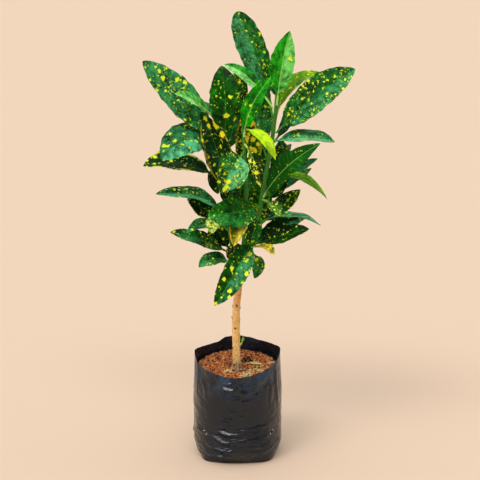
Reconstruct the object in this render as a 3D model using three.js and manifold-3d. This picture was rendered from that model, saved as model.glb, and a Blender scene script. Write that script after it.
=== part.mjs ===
// A gold dust croton growing in a black film nursery bag: one bare woody trunk that forks into
// three leafy leaders, standing in a bag of coir potting mix.
// Millimetres, +Z up, +X to the right, -Y to the front. The origin is the middle of the bag's
// underside, where it rests.

import * as THREE from "three";
import { mergeVertices } from "three/addons/utils/BufferGeometryUtils.js";
import Module from "manifold-3d";

const wasm = await Module();
wasm.setup();

const SEAT_GAP = 0.3; // clearance between pieces that touch

// Nursery bag: a film tube that measures 203 across when flat, filled round
const BAG_FLAT_WIDTH = 203;
const BAG_RADIUS = BAG_FLAT_WIDTH / Math.PI;
const BAG_WALL = 0.8;
const BAG_SEGMENTS = 36;
const BASE_HALF_WIDTH = 53;
const BASE_HALF_DEPTH = 45;
const BASE_SQUARENESS = 4.2; // superellipse exponent of the folded bottom
const BASE_BULGE_HEIGHT = 27; // height over which the folded bottom swells to the full round
const BAG_LOWER_HEIGHTS = [0, 4, 10, 18, 27, 62, 100];
const BAG_RIM_START = 100; // the wall follows the uneven rim from here up
const BAG_RIM_END = 155; // and has drawn in to the rim radius here
const RIM_RADIUS = 62.4;

// Rim height at every 15 degrees from +X, anticlockwise: low in front, up at three soft creases
const RIM_HEIGHTS = [
  160, 158, 156, 155.5, 155.5, 158, 160, 158.5, 152, 151, 152, 154.5,
  157, 151, 144.5, 141.5, 139, 137, 136, 138, 141, 145, 149, 155,
];

// Drain holes, punched through both layers of the flat bag
const DRAIN_HEIGHT = 47;
const DRAIN_RADIUS = 2.6;
const DRAIN_ANGLES = [-136, -41, 41, 136];
const DRAIN_PUNCH_LENGTH = 10;
const DRAIN_SIDES = 8;

// Potting mix
const MIX_LEVEL = 131;
const MIX_SLOPE = 0.12; // rises towards the back
const MIX_LUMP = 0.66; // height of the lumps, and how far apart they are
const MIX_LUMP_SPACING = { across: 9, deep: 11, slanted: 6.5 };
const MIX_SLANTED_SHARE = 0.6;
const MIX_RING_SHARES = [1, 0.84, 0.66, 0.48, 0.3, 0.12]; // rings of the top surface

// Trunk and leaders: centrelines from the buried root to the shoot tips, with radii at both ends
const ROOT_BOTTOM = 72;
const FORK = [3, -2.5, 266];
const STEMS = {
  trunk: {
    line: [[0, -14, ROOT_BOTTOM], [-1, -14, 130], [-2, -12, 175], [-2, -8, 220], [1, -4.5, 250], FORK],
    radii: [6.0, 5.0],
  },
  right: {
    line: [FORK, [12, 0, 290], [18, 1, 308], [29, 2, 352], [40, 4, 417], [49, 3, 470], [53, 2, 505],
      [55, 0, 532]],
    radii: [4.4, 2.4],
  },
  left: {
    line: [FORK, [-4, 2, 295], [-12, 6, 345], [-18, 6, 410], [-20, 5, 450], [-19, 4, 485]],
    radii: [4.2, 2.3],
  },
  middle: {
    line: [FORK, [7, -6, 300], [11, -10, 345], [12, -11, 383], [10, -14, 440], [8, -16, 490]],
    radii: [4.0, 2.2],
  },
};
const STEM_SIDES = 10;
const STEM_ROWS = 9;
const STEM_SEARCH_END = 1e-6; // share of a stem at which the search for a height stops
const BUD_ROWS = [[-1, 0.9], [3.6, 0.95], [9, 0.35]]; // distance past the shoot tip, radius share
const ROOT_FLARE = 1.6; // added radius where the trunk meets the mix
const ROOT_FLARE_HEIGHT = 130;
const ROOT_FLARE_REACH = 12;

// Scars of fallen leaves on the bare trunk: height, and angle from +X
const LEAF_SCARS = [
  [152, 60], [166, 215], [181, 100], [195, -100], [203, 20], [208, 0], [210, 180], [216, 85],
  [224, 0], [226, 180], [228, -90], [236, 135],
];
const SCAR_RADIUS = 1.5;
const SCAR_TOP_RADIUS = 0.75;
const SCAR_RISE = 1.0;
const SCAR_SIDES = 6;

// Leaf blades and stalks
const STALK_HALF_WIDTH = 1.4;
const BLADE_THICKNESS = 0.8;
const MIDRIB_DEPTH = 0.8;
const TIP_HALF_WIDTH = 0.7;
const BLADE_OPENING = 0.12; // share of the blade over which the stalk widens into it
const EDGE_WAVE_TURN = 3.2 * Math.PI; // turn of the edge wave from the blade's foot to its tip
const EDGE_WAVE_LAG = 1.4; // turn between the two edges of one blade
const EDGE_WAVE_STEP = 2.4; // turn between one leaf and the next in the list

// Leaf styles: share of the blade at its widest point, how blunt its tip is, height of the edge
// wave, angle to which each half is folded up, colour and roughness
const STYLES = {
  mature: { widest: 0.48, taper: 0.8, wave: 1.6, fold: 14, colour: "#17501f", roughness: 0.4 },
  broad: { widest: 0.48, taper: 0.75, wave: 1.4, fold: 12, colour: "#1b5527", roughness: 0.4 },
  blunt: { widest: 0.6, taper: 0.5, wave: 1.2, fold: 12, colour: "#17501f", roughness: 0.4 },
  young: { widest: 0.48, taper: 0.9, wave: 0.8, fold: 16, colour: "#2f9a22", roughness: 0.45 },
  olive: { widest: 0.5, taper: 0.9, wave: 0.8, fold: 16, colour: "#7c9200", roughness: 0.45 },
  chartreuse: { widest: 0.45, taper: 0.9, wave: 0.6, fold: 14, colour: "#b6ea10", roughness: 0.5 },
  mottled: { widest: 0.5, taper: 0.8, wave: 1.4, fold: 12, colour: "#9fb040", roughness: 0.45 },
  dying: { widest: 0.45, taper: 0.9, wave: 1.8, fold: 26, colour: "#d99a20", roughness: 0.6 },
};

// Leaves: stem and height on it, tip, bow of the midrib off the straight line at its middle, the way
// the upper face looks, blade width, stalk length and style.
const LEAVES = [
  ["top", "right", 500, [-1, 8, 646], [4.5, 8, 1], [-0.25, -1, 0.15], 42, 24, "blunt"],
  ["upright", "right", 518, [72, -5, 621], [-2, -4, 0], [-0.2, -1, 0.1], 36, 14, "young"],
  ["olive_arch", "right", 492, [124, 25, 556], [-12, 0, 19], [0, -0.35, 0.94], 30, 14, "olive"],
  ["right_upper", "right", 478, [162, -20, 570], [-1, -4, 7], [-0.35, -0.85, 0.4], 51, 10, "broad"],
  ["right_behind", "right", 463, [103, 36, 540], [0, 2, -3], [-0.3, -0.8, 0.5], 22, 10, "mature"],
  ["right_level", "right", 466, [135, -25, 469], [0, -2, 6], [0, -0.3, 0.95], 40, 3, "mature"],
  ["right_front", "right", 386, [114, -45, 471], [-8, -6, 5], [-0.4, -0.9, 0.3], 31, 10, "young"],
  ["right_shade_high", "right", 400, [114, 25, 436], [0, 4, 0], [-0.2, -0.7, 0.7], 19, 14, "mature"],
  ["right_shade_low", "right", 385, [107, 50, 417], [0, 4, -1], [-0.2, -0.7, 0.7], 18, 14, "mature"],
  ["olive_droop", "right", 405, [126, -15, 386], [1, -4, 20], [0.2, -0.25, 0.95], 26, 14, "olive"],
  ["right_under_front", "right", 378, [72, -8, 413], [0, 0, -1], [-0.3, -0.8, 0.5], 20, 12, "mature"],
  ["right_spotted", "right", 344, [90, 20, 392], [0, 5, -2], [-0.3, -0.8, 0.5], 28, 10, "mature"],
  ["pale_hanging", "right", 382, [64, -40, 366], [0, -8, 6], [0.2, -0.9, 0.3], 17, 12, "mottled"],
  ["right_blade_thin", "right", 350, [118, -4, 345], [0, -7, 13], [0.1, -0.05, 1], 30, 12, "mature"],
  ["right_blade_back", "right", 314, [102, 30, 350], [-4, 4, 4], [0, -0.5, 0.86], 30, 4, "mature"],
  ["right_low", "right", 318, [101, -25, 345], [0, -4, 2], [-0.1, -0.55, 0.83], 34, 4, "mature"],
  ["curled_tip", "right", 314, [52, -46, 313], [2, -12, 7], [0.1, -0.5, 0.85], 18, 6, "dying"],
  ["low_right_small", "right", 305, [24, -8, 268], [7, -2, 4], [0.1, -0.9, 0.2], 19, 6, "mature"],
  ["front_low", "right", 328, [-32, -70, 246], [4, -22, 8], [0.35, -0.8, 0.5], 37, 12, "mature"],
  ["left_upper", "left", 462, [-131, -10, 580], [0, -2, 2], [0.45, -0.75, 0.45], 54, 22, "broad"],
  ["left_young", "left", 483, [-86, -40, 539], [2, 3, 9], [0.2, -0.6, 0.75], 22, 26, "young"],
  ["dark_upright", "left", 472, [-22, -14, 574], [4, -20, 0], [0.1, -1, 0.05], 46, 12, "broad"],
  ["pale_left", "right", 512, [-19, 4, 573], [0, -4, 12], [0.1, -0.75, 0.65], 20, 16, "young"],
  ["bright_middle", "middle", 476, [46, -35, 561], [-8, -8, 2], [-0.3, -0.9, 0.2], 27, 10, "young"],
  ["chartreuse", "middle", 486, [52, -60, 451], [3, -6, 11], [0.5, -0.8, 0.4], 20, 8, "chartreuse"],
  ["left_middle", "left", 440, [-104, -45, 447], [0, 3, 28], [0.05, -0.75, 0.65], 53, 24, "broad"],
  ["left_long", "left", 410, [-133, 0, 430], [-4, 6, 13], [0.1, -0.45, 0.9], 44, 14, "mature"],
  ["left_dark_front", "left", 392, [-48, -9, 506], [5, -7, 0], [0.2, -1, 0.1], 41, 12, "mature"],
  ["left_shade_low", "left", 430, [-28, 22, 385], [-6, 8, 6], [-0.2, -0.9, 0.3], 24, 12, "mature"],
  ["heart_front", "middle", 453, [-23, -76, 408], [1, -14, 10], [0.25, -0.1, 0.3], 48, 12, "mature"],
  ["left_level", "left", 362, [-115, -20, 394], [7, -2, 11], [0.05, -0.35, 0.93], 36, 10, "mature"],
  ["left_shade", "left", 345, [-72, 15, 379], [0, 6, 0], [0.3, -0.8, 0.5], 30, 12, "mature"],
  ["centre_front", "right", 372, [-41, -70, 376], [4, -20, 2], [0.1, -0.9, 0.4], 44, 12, "broad"],
  ["mottled_tip", "left", 352, [-36, -48, 343], [-6, -8, 10], [0, -0.85, 0.5], 22, 12, "mottled"],
  ["left_low_small", "left", 338, [-71, -40, 343], [0, -4, 12], [0, -0.55, 0.85], 22, 12, "mature"],
  ["left_low", "left", 303, [-95, -20, 339], [0, -2, 5], [0.2, -0.6, 0.75], 27, 10, "mature"],
  ["left_hook", "left", 286, [-55, -25, 289], [0, -3, 12], [-0.1, -0.6, 0.8], 26, 10, "mature"],
  ["yellow_folded", "middle", 345, [-5, -66, 330], [0, -14, 16], [0, -0.6, 0.8], 26, 12, "dying"],
  ["narrow_front", "right", 356, [14, -46, 318], [2, -14, 10], [0, -0.9, 0.4], 22, 10, "mature"],
  ["blue_back", "right", 440, [42, 26, 545], [-10, 12, 0], [-0.2, -0.95, 0.1], 40, 10, "mature"],
  ["teal_upright", "right", 405, [60, 10, 468], [8, 6, 0], [0.2, -0.95, 0], 26, 8, "mature"],
  ["mottled_hanging", "middle", 465, [33, -46, 409], [2, -12, 8], [-0.3, -0.9, 0.1], 18, 10, "mottled"],
  ["middle_blotched", "middle", 405, [10, -2, 508], [4, 6, 0], [0, -1, 0.1], 38, 8, "mature"],
  ["centre_shade", "left", 366, [2, -24, 434], [-4, -8, 0], [0, -1, 0.1], 32, 12, "mature"],
  ["low_shade", "left", 326, [5, -26, 290], [-2, -14, 6], [-0.1, -0.95, 0.3], 28, 12, "mature"],
  ["inner_back", "middle", 384, [38, 44, 480], [0, 8, 2], [0, -0.95, 0.3], 34, 10, "mature"],
  ["back_top", "right", 510, [68, 70, 580], [0, 6, 6], [0, 0.5, 0.85], 34, 14, "mature"],
  ["back_right", "right", 435, [72, 90, 430], [0, 4, 14], [0, 0.3, 0.95], 34, 14, "mature"],
  ["back_left_top", "left", 474, [-36, 95, 500], [-4, 8, 16], [0, 0.3, 0.95], 34, 14, "mature"],
  ["back_left", "left", 425, [-75, 85, 455], [6, 8, 14], [0, 0.3, 0.95], 36, 14, "mature"],
  ["back_left_middle", "left", 385, [-25, 115, 420], [0, 4, 14], [0, 0.3, 0.95], 34, 14, "mature"],
  ["back_middle", "left", 440, [1, 43, 566], [6, 13, 0], [0, -0.9, 0.45], 36, 8, "mature"],
  ["back_left_low", "left", 300, [-42, 16, 345], [0, 6, 4], [0, -0.9, 0.4], 34, 10, "mature"],
  ["back_right_low", "right", 322, [44, 34, 425], [0, 9, 0], [0, -0.95, 0.2], 34, 12, "mature"],
  ["back_low", "left", 330, [18, 50, 434], [4, 20, 0], [0, -0.95, 0.2], 38, 12, "mature"],
];
const SPROUT = ["sprout", "trunk", 168, [8, -3, 181], [1, 0, -1], [0.6, -0.8, 0], 5, 4, "young"];

// A shed leaf, dry and rolled at its edges, that lies on the mix: both ends of its midrib
const DRY_LEAF = { from: [13, 12], to: [36, 8], width: 7, thickness: 0.7, roll: 1.6 };

// Share of the leaf's length at each ring of the stalk, and of the blade at each ring of the blade
const STALK_RINGS = [0, 0.6];
const BLADE_RINGS = [0, 0.08, 0.2, 0.34, 0.5, 0.66, 0.8, 0.92, 1];
const ACROSS = [-1, -0.5, 0, 0.5, 1];
const STALK_HALF_DEPTHS = [0.5, 1.15, 1.35, 1.15, 0.5];

function vector(xyz) {
  return new THREE.Vector3(...xyz);
}

function smoothstep(from, to, value) {
  return THREE.MathUtils.smoothstep(value, from, to);
}

// A closed solid through rings with equal point counts, fanned to the middle of each end ring.
// The rings run anticlockwise as seen from the last one. Cells for which flipped(i, ring) holds are
// split along their other diagonal, so that both faces of a thin wall are split alike.
function solidFromRings(rings, flipped = () => false) {
  const count = rings[0].length;
  const points = rings.flat();
  const faces = [];
  for (let ring = 0; ring + 1 < rings.length; ring += 1) {
    for (let i = 0; i < count; i += 1) {
      const next = (i + 1) % count;
      const [a, b] = [ring * count + i, ring * count + next];
      const [c, d] = [b + count, a + count];
      faces.push(...(flipped(i, ring) ? [a, b, d, b, c, d] : [a, b, c, a, c, d]));
    }
  }
  const last = (rings.length - 1) * count;
  const firstMiddle = points.push(middleOf(rings[0])) - 1;
  const lastMiddle = points.push(middleOf(rings.at(-1))) - 1;
  for (let i = 0; i < count; i += 1) {
    const next = (i + 1) % count;
    faces.push(firstMiddle, next, i, lastMiddle, last + i, last + next);
  }
  const geometry = new THREE.BufferGeometry().setFromPoints(points);
  geometry.setIndex(faces);
  return geometry;
}

function middleOf(ring) {
  const sum = new THREE.Vector3();
  ring.forEach((point) => sum.add(point));
  return sum.divideScalar(ring.length);
}

function toSolid(geometry) {
  const bare = geometry.index ? geometry.toNonIndexed() : geometry.clone();
  bare.deleteAttribute("normal");
  bare.deleteAttribute("uv");
  const merged = mergeVertices(bare, 1e-4);
  return new wasm.Manifold(new wasm.Mesh({
    numProp: 3,
    vertProperties: new Float32Array(merged.attributes.position.array),
    triVerts: new Uint32Array(merged.index.array),
  }));
}

function toGeometry(solid) {
  const { vertProperties, triVerts } = solid.getMesh();
  const geometry = new THREE.BufferGeometry();
  geometry.setAttribute("position", new THREE.BufferAttribute(new Float32Array(vertProperties), 3));
  geometry.setIndex(Array.from(triVerts));
  return geometry;
}

function makeMesh(name, geometry, material) {
  geometry.computeVertexNormals();
  const mesh = new THREE.Mesh(geometry, material);
  mesh.name = name;
  return mesh;
}

// Materials

function blackFilm() {
  return new THREE.MeshStandardMaterial({ color: "#2b2d30", roughness: 0.35 });
}

function coirMix() {
  return new THREE.MeshStandardMaterial({ color: "#8a4a2a", roughness: 0.95 });
}

function tanBark() {
  return new THREE.MeshStandardMaterial({ color: "#c99a58", roughness: 0.7 });
}

function dryBlade() {
  return new THREE.MeshStandardMaterial({ color: "#c2b060", roughness: 0.85 });
}

function leafSkin({ colour, roughness }) {
  return new THREE.MeshStandardMaterial({ color: colour, roughness });
}

// Nursery bag

function rimHeight(angle) {
  const steps = RIM_HEIGHTS.length;
  const place = ((angle / (2 * Math.PI)) * steps + steps) % steps;
  const from = Math.floor(place);
  const share = smoothstep(0, 1, place - from);
  return THREE.MathUtils.lerp(RIM_HEIGHTS[from % steps], RIM_HEIGHTS[(from + 1) % steps], share);
}

function baseRadius(angle) {
  const across = Math.abs(Math.cos(angle) / BASE_HALF_WIDTH) ** BASE_SQUARENESS;
  const deep = Math.abs(Math.sin(angle) / BASE_HALF_DEPTH) ** BASE_SQUARENESS;
  return (across + deep) ** (-1 / BASE_SQUARENESS);
}

// Outer radius of the filled bag at a height and an angle
function bagRadius(height, angle) {
  const swell = Math.sin((Math.PI / 2) * Math.min(1, height / BASE_BULGE_HEIGHT));
  const drawnIn = smoothstep(BAG_RIM_START, BAG_RIM_END, height);
  const round = THREE.MathUtils.lerp(BAG_RADIUS, RIM_RADIUS, drawnIn);
  return THREE.MathUtils.lerp(baseRadius(angle), round, swell);
}

// One ring of the bag, moved in from its outer face by the inset
function bagRing(heightAt, inset) {
  const ring = [];
  for (let i = 0; i < BAG_SEGMENTS; i += 1) {
    const angle = (i / BAG_SEGMENTS) * 2 * Math.PI;
    const height = heightAt(angle);
    const radius = bagRadius(height, angle) - inset;
    ring.push(new THREE.Vector3(radius * Math.cos(angle), radius * Math.sin(angle), height));
  }
  return ring;
}

function rimRow(share) {
  return (angle) => THREE.MathUtils.lerp(BAG_RIM_START, rimHeight(angle), share);
}

function growBag() {
  const rows = [...BAG_LOWER_HEIGHTS.map((height) => () => height), rimRow(0.5), rimRow(1)];
  const outside = rows.map((row) => bagRing(row, 0));
  const inside = rows.map((row) => bagRing((angle) => Math.max(row(angle), BAG_WALL), BAG_WALL));
  const walls = [...outside, ...inside.reverse()];
  let bag = toSolid(solidFromRings(walls, (i, ring) => ring >= rows.length));
  for (const degrees of DRAIN_ANGLES) {
    bag = bag.subtract(toSolid(drainPunch(degrees)));
  }
  return makeMesh("grow_bag", toGeometry(bag), blackFilm());
}

function drainPunch(degrees) {
  const sides = [DRAIN_RADIUS, DRAIN_RADIUS, DRAIN_PUNCH_LENGTH, DRAIN_SIDES];
  const punch = new THREE.CylinderGeometry(...sides);
  punch.rotateZ(Math.PI / 2);
  punch.translate(BAG_RADIUS, 0, 0);
  punch.rotateZ(THREE.MathUtils.degToRad(degrees));
  punch.translate(0, 0, DRAIN_HEIGHT);
  return punch;
}

// Potting mix

function mixHeight(x, y) {
  const { across, deep, slanted } = MIX_LUMP_SPACING;
  const straight = Math.sin(x / across + 1) * Math.cos(y / deep);
  const lumps = straight + MIX_SLANTED_SHARE * Math.sin((x + y) / slanted);
  return MIX_LEVEL + MIX_SLOPE * y + MIX_LUMP * lumps;
}

function pottingMix() {
  const inset = BAG_WALL + SEAT_GAP;
  const sides = BAG_LOWER_HEIGHTS.map((height) => bagRing(() => Math.max(height, inset), inset));
  const edge = bagRing(() => MIX_LEVEL, inset);
  const shrink = (share) => edge.map(({ x, y }) => {
    return new THREE.Vector3(x * share, y * share, mixHeight(x * share, y * share));
  });
  const surface = MIX_RING_SHARES.map(shrink);
  const mix = toSolid(solidFromRings([...sides, ...surface]));
  const rootHole = toSolid(tube(STEMS.trunk, { grow: SEAT_GAP, early: SEAT_GAP }));
  return makeMesh("potting_mix", toGeometry(mix.subtract(rootHole)), coirMix());
}

// Trunk with its leaders

function stemCurve(stem) {
  return new THREE.CatmullRomCurve3(stem.line.map(vector), false, "centripetal");
}

function stemRadius(stem, share, height) {
  const plain = THREE.MathUtils.lerp(stem.radii[0], stem.radii[1], share);
  const offset = (height - ROOT_FLARE_HEIGHT) / ROOT_FLARE_REACH;
  return plain + (stem === STEMS.trunk ? ROOT_FLARE * Math.exp(-offset * offset) : 0);
}

// Two directions across a line that runs along a tangent
function crossAxes(tangent, towards) {
  const side = new THREE.Vector3().crossVectors(towards, tangent).normalize();
  return [side, new THREE.Vector3().crossVectors(tangent, side).normalize()];
}

function circleRing(centre, tangent, radius) {
  const [side, ahead] = crossAxes(tangent, new THREE.Vector3(0, 1, 0));
  const ring = [];
  for (let i = 0; i < STEM_SIDES; i += 1) {
    const angle = (i / STEM_SIDES) * 2 * Math.PI;
    ring.push(centre.clone()
      .addScaledVector(side, radius * Math.cos(angle))
      .addScaledVector(ahead, radius * Math.sin(angle)));
  }
  return ring;
}

// A round tapered rod along a stem, grown outwards and started early where it cuts its own hole
function tube(stem, { grow = 0, early = 0 } = {}) {
  const curve = stemCurve(stem);
  const rings = [];
  for (let row = 0; row <= STEM_ROWS; row += 1) {
    const share = row / STEM_ROWS;
    const centre = curve.getPoint(share);
    const radius = stemRadius(stem, share, centre.z) + grow;
    if (row === 0) {
      centre.z -= early;
    }
    rings.push(circleRing(centre, curve.getTangent(share), radius));
  }
  return solidFromRings(rings);
}

function leafScar(height, degrees) {
  const { point, radius } = stemAt("trunk", height);
  const scar = new THREE.CylinderGeometry(SCAR_TOP_RADIUS, SCAR_RADIUS, 2 * SCAR_RISE, SCAR_SIDES);
  scar.rotateZ(-Math.PI / 2);
  scar.translate(radius, 0, 0);
  scar.rotateZ(THREE.MathUtils.degToRad(degrees));
  scar.translate(point.x, point.y, point.z);
  return scar;
}

function bud(stem) {
  const curve = stemCurve(stem);
  const start = curve.getPoint(1);
  const along = curve.getTangent(1);
  const radius = stem.radii[1];
  return solidFromRings(BUD_ROWS.map(([distance, share]) => {
    return circleRing(start.clone().addScaledVector(along, distance), along, radius * share);
  }));
}

function trunkWithLeaders() {
  const leaders = [STEMS.right, STEMS.left, STEMS.middle];
  const pieces = [
    ...leaders.map((stem) => tube(stem)),
    ...leaders.map(bud),
    ...LEAF_SCARS.map(([height, degrees]) => leafScar(height, degrees)),
  ];
  let wood = toSolid(tube(STEMS.trunk));
  for (const piece of pieces) {
    wood = wood.add(toSolid(piece));
  }
  return makeMesh("trunk", toGeometry(wood), tanBark());
}

// Leaves

// The middle, direction and radius of a stem at a height
function stemAt(name, height) {
  const stem = STEMS[name];
  const curve = stemCurve(stem);
  let [low, high] = [0, 1];
  while (high - low > STEM_SEARCH_END) {
    const middle = (low + high) / 2;
    [low, high] = curve.getPoint(middle).z < height ? [middle, high] : [low, middle];
  }
  return {
    point: curve.getPoint(low),
    along: curve.getTangent(low),
    radius: stemRadius(stem, low, height),
  };
}

// Where a leaf's stalk sits on its stem: clear of the bark by the seat gap
function stalkFoot(stemName, height, tip, bow) {
  const { point, along, radius } = stemAt(stemName, height);
  const leaving = tip.clone().sub(point).addScaledVector(bow, 4).normalize();
  const outward = leaving.clone().addScaledVector(along, -leaving.dot(along)).normalize();
  const slant = Math.sqrt(1 - leaving.dot(outward) ** 2);
  return point.addScaledVector(outward, radius + SEAT_GAP + STALK_HALF_WIDTH * slant);
}

function bladeShape(share, style) {
  const rise = style.taper * style.widest / (1 - style.widest);
  const shape = (at) => at ** rise * (1 - at) ** style.taper;
  return shape(share) / shape(style.widest);
}

// One closed ring round a leaf at a share of its length, upper face first
function leafRing(leaf, share) {
  const { foot, tip, bow, face, width, stalkShare, style, turn } = leaf;
  const centre = foot.clone().lerp(tip, share).addScaledVector(bow, 4 * share * (1 - share));
  const tangent = tip.clone().sub(foot).addScaledVector(bow, 4 * (1 - 2 * share)).normalize();
  const [side, out] = crossAxes(tangent, face);
  const blade = Math.max(0, (share - stalkShare) / (1 - stalkShare));
  const opened = smoothstep(0, BLADE_OPENING, blade);
  const reach = Math.max(width / 2 * bladeShape(blade, style), TIP_HALF_WIDTH);
  const halfWidth = THREE.MathUtils.lerp(STALK_HALF_WIDTH, reach, opened);
  const fold = THREE.MathUtils.degToRad(style.fold) * opened;
  const ring = { upper: [], lower: [] };
  ACROSS.forEach((across, i) => {
    const swing = Math.sin(EDGE_WAVE_TURN * blade + turn + (across < 0 ? EDGE_WAVE_LAG : 0));
    const wave = style.wave * swing * Math.sin(Math.PI * blade) * across * across * opened;
    const lift = Math.abs(across) * halfWidth * Math.sin(fold) + wave;
    const middle = centre.clone()
      .addScaledVector(side, across * halfWidth * Math.cos(fold))
      .addScaledVector(out, lift);
    const half = THREE.MathUtils.lerp(STALK_HALF_DEPTHS[i], BLADE_THICKNESS / 2, opened);
    const rib = across === 0 ? MIDRIB_DEPTH * (1 - blade) * opened : 0;
    ring.upper.push(middle.clone().addScaledVector(out, half));
    ring.lower.push(middle.clone().addScaledVector(out, -half - rib));
  });
  return [...ring.lower, ...ring.upper.reverse()];
}

function leafSolid([name, stemName, height, tipXyz, bowXyz, faceXyz, width, stalk, styleName], turn) {
  const [tip, bow] = [vector(tipXyz), vector(bowXyz)];
  const foot = stalkFoot(stemName, height, tip, bow);
  const style = STYLES[styleName];
  const stalkShare = stalk / foot.distanceTo(tip);
  const leaf = { foot, tip, bow, face: vector(faceXyz), width, stalkShare, style, turn };
  const shares = [
    ...STALK_RINGS.map((share) => share * stalkShare),
    ...BLADE_RINGS.map((share) => stalkShare + share * (1 - stalkShare)),
  ];
  const rings = shares.map((share) => leafRing(leaf, share));
  const geometry = solidFromRings(rings, (i) => i < ACROSS.length);
  return makeMesh(`leaf_${name}`, geometry, leafSkin(style));
}

// The shed leaf follows the mix, with both long edges rolled up
function dryLeaf() {
  const from = new THREE.Vector2(...DRY_LEAF.from);
  const to = new THREE.Vector2(...DRY_LEAF.to);
  const side = to.clone().sub(from).normalize().rotateAround(new THREE.Vector2(), Math.PI / 2);
  const rings = BLADE_RINGS.map((share) => {
    const middle = from.clone().lerp(to, share);
    const reach = Math.max(DRY_LEAF.width / 2 * bladeShape(share, STYLES.mature), TIP_HALF_WIDTH);
    const lower = ACROSS.map((across) => {
      const { x, y } = middle.clone().addScaledVector(side, across * reach);
      const rolled = DRY_LEAF.roll * across * across * Math.sin(Math.PI * share);
      return new THREE.Vector3(x, y, mixHeight(x, y) + SEAT_GAP + rolled);
    });
    const upper = lower.map((point) => point.clone().setZ(point.z + DRY_LEAF.thickness));
    return [...lower, ...upper.reverse()];
  });
  const geometry = solidFromRings(rings, (i) => i < ACROSS.length);
  return makeMesh("dry_leaf", geometry, dryBlade());
}

const croton = new THREE.Group();
croton.add(growBag(), pottingMix(), trunkWithLeaders(), dryLeaf());
LEAVES.forEach((leaf, index) => croton.add(leafSolid(leaf, index * EDGE_WAVE_STEP)));
croton.add(leafSolid(SPROUT, 0));

export default croton;
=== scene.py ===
"""Looks of a gold dust croton that grows in a black film nursery bag of coir mix.

Lengths are in millimetres, as a grower would measure them, and each mesh is turned to metres when
it is made. Only the size of the studio floor and how far the camera sees are in metres. +Z is up,
+X is right and -Y is the front.
"""

import itertools
import logging
import math
import random
from dataclasses import dataclass
from enum import Enum
from functools import partial
from typing import Any, Callable

import bpy
import numpy as np
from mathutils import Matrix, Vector, noise


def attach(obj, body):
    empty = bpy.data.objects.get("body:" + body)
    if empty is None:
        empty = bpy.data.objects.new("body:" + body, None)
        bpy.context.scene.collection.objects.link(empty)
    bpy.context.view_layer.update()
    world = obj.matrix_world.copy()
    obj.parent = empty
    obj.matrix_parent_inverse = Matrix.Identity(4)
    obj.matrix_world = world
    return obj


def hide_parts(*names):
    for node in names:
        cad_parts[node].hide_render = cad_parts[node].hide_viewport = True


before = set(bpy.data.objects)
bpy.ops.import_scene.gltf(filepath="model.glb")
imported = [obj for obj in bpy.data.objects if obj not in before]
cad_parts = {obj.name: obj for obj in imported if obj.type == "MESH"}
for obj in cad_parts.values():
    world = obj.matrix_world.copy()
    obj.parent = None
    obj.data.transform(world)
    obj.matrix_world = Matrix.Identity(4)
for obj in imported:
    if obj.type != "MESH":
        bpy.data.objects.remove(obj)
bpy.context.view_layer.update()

log = logging.getLogger("croton")

MM = 0.001
FULL_TURN = 2 * math.pi
SEAT_GAP = 0.3

Pair = tuple[float, float]
Triple = tuple[float, float, float]
Array = np.ndarray
Faces = list[tuple[int, ...]]
Node = bpy.types.Node
# what an input can be linked to: a node stands for its first open output
Link = bpy.types.Node | bpy.types.NodeSocket
# add_node for one tree
Adder = Callable[..., bpy.types.Node]
Material = bpy.types.Material
Object = bpy.types.Object


def linear(hex_colour: str) -> tuple[float, float, float, float]:
    """Turns an sRGB hex colour to linear light.

    Args:
        hex_colour: A colour such as "#1b5527".

    Returns:
        Red, green, blue and an alpha of 1.
    """
    parts = [int(hex_colour[i : i + 2], 16) / 255 for i in (1, 3, 5)]
    low = [c / 12.92 if c <= 0.04045 else ((c + 0.055) / 1.055) ** 2.4 for c in parts]
    return (low[0], low[1], low[2], 1.0)


class Step(Enum):
    """The kinds of node in the finishes and the sky, with what is always set on each."""

    LAYER = ("Attribute", {})
    SPLIT = ("SeparateXYZ", {})
    JOIN = ("CombineXYZ", {})
    DIRECTION = ("TexCoord", {})
    # uneven numbers around one half: place, features to the millimetre, finer layers
    NOISE = ("TexNoise", {"Roughness": 0.6})
    CELLS = ("TexVoronoi", {"voronoi_dimensions": "2D", "Randomness": 0.95})
    STRETCH = ("VectorMath", {"operation": "MULTIPLY"})
    PUSH = ("VectorMath", {"operation": "MULTIPLY_ADD"})
    SIZE = ("Math", {"operation": "ABSOLUTE"})
    PLUS = ("Math", {"operation": "ADD"})
    MINUS = ("Math", {"operation": "SUBTRACT"})
    TIMES = ("Math", {"operation": "MULTIPLY"})
    TIMES_PLUS = ("Math", {"operation": "MULTIPLY_ADD"})
    OVER = ("Math", {"operation": "DIVIDE"})
    POWER = ("Math", {"operation": "POWER"})
    MOST = ("Math", {"operation": "MAXIMUM"})
    BELOW = ("Math", {"operation": "LESS_THAN"})
    ZIGZAG = ("Math", {"operation": "PINGPONG"})
    # goes smoothly from 0 to 1, or between two results, while the first goes from low to high
    EASE = ("MapRange", {"interpolation_type": "SMOOTHSTEP"})
    # two colours, by the share of the second
    BLEND = ("Mix", {"data_type": "RGBA"})
    RAMP = ("ValToRGB", {})
    BUMP = ("Bump", {})
    SURFACE = ("BsdfPrincipled", {})
    MATERIAL_END = ("OutputMaterial", {})
    SKY = ("Background", {})
    WORLD_END = ("OutputWorld", {})


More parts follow.
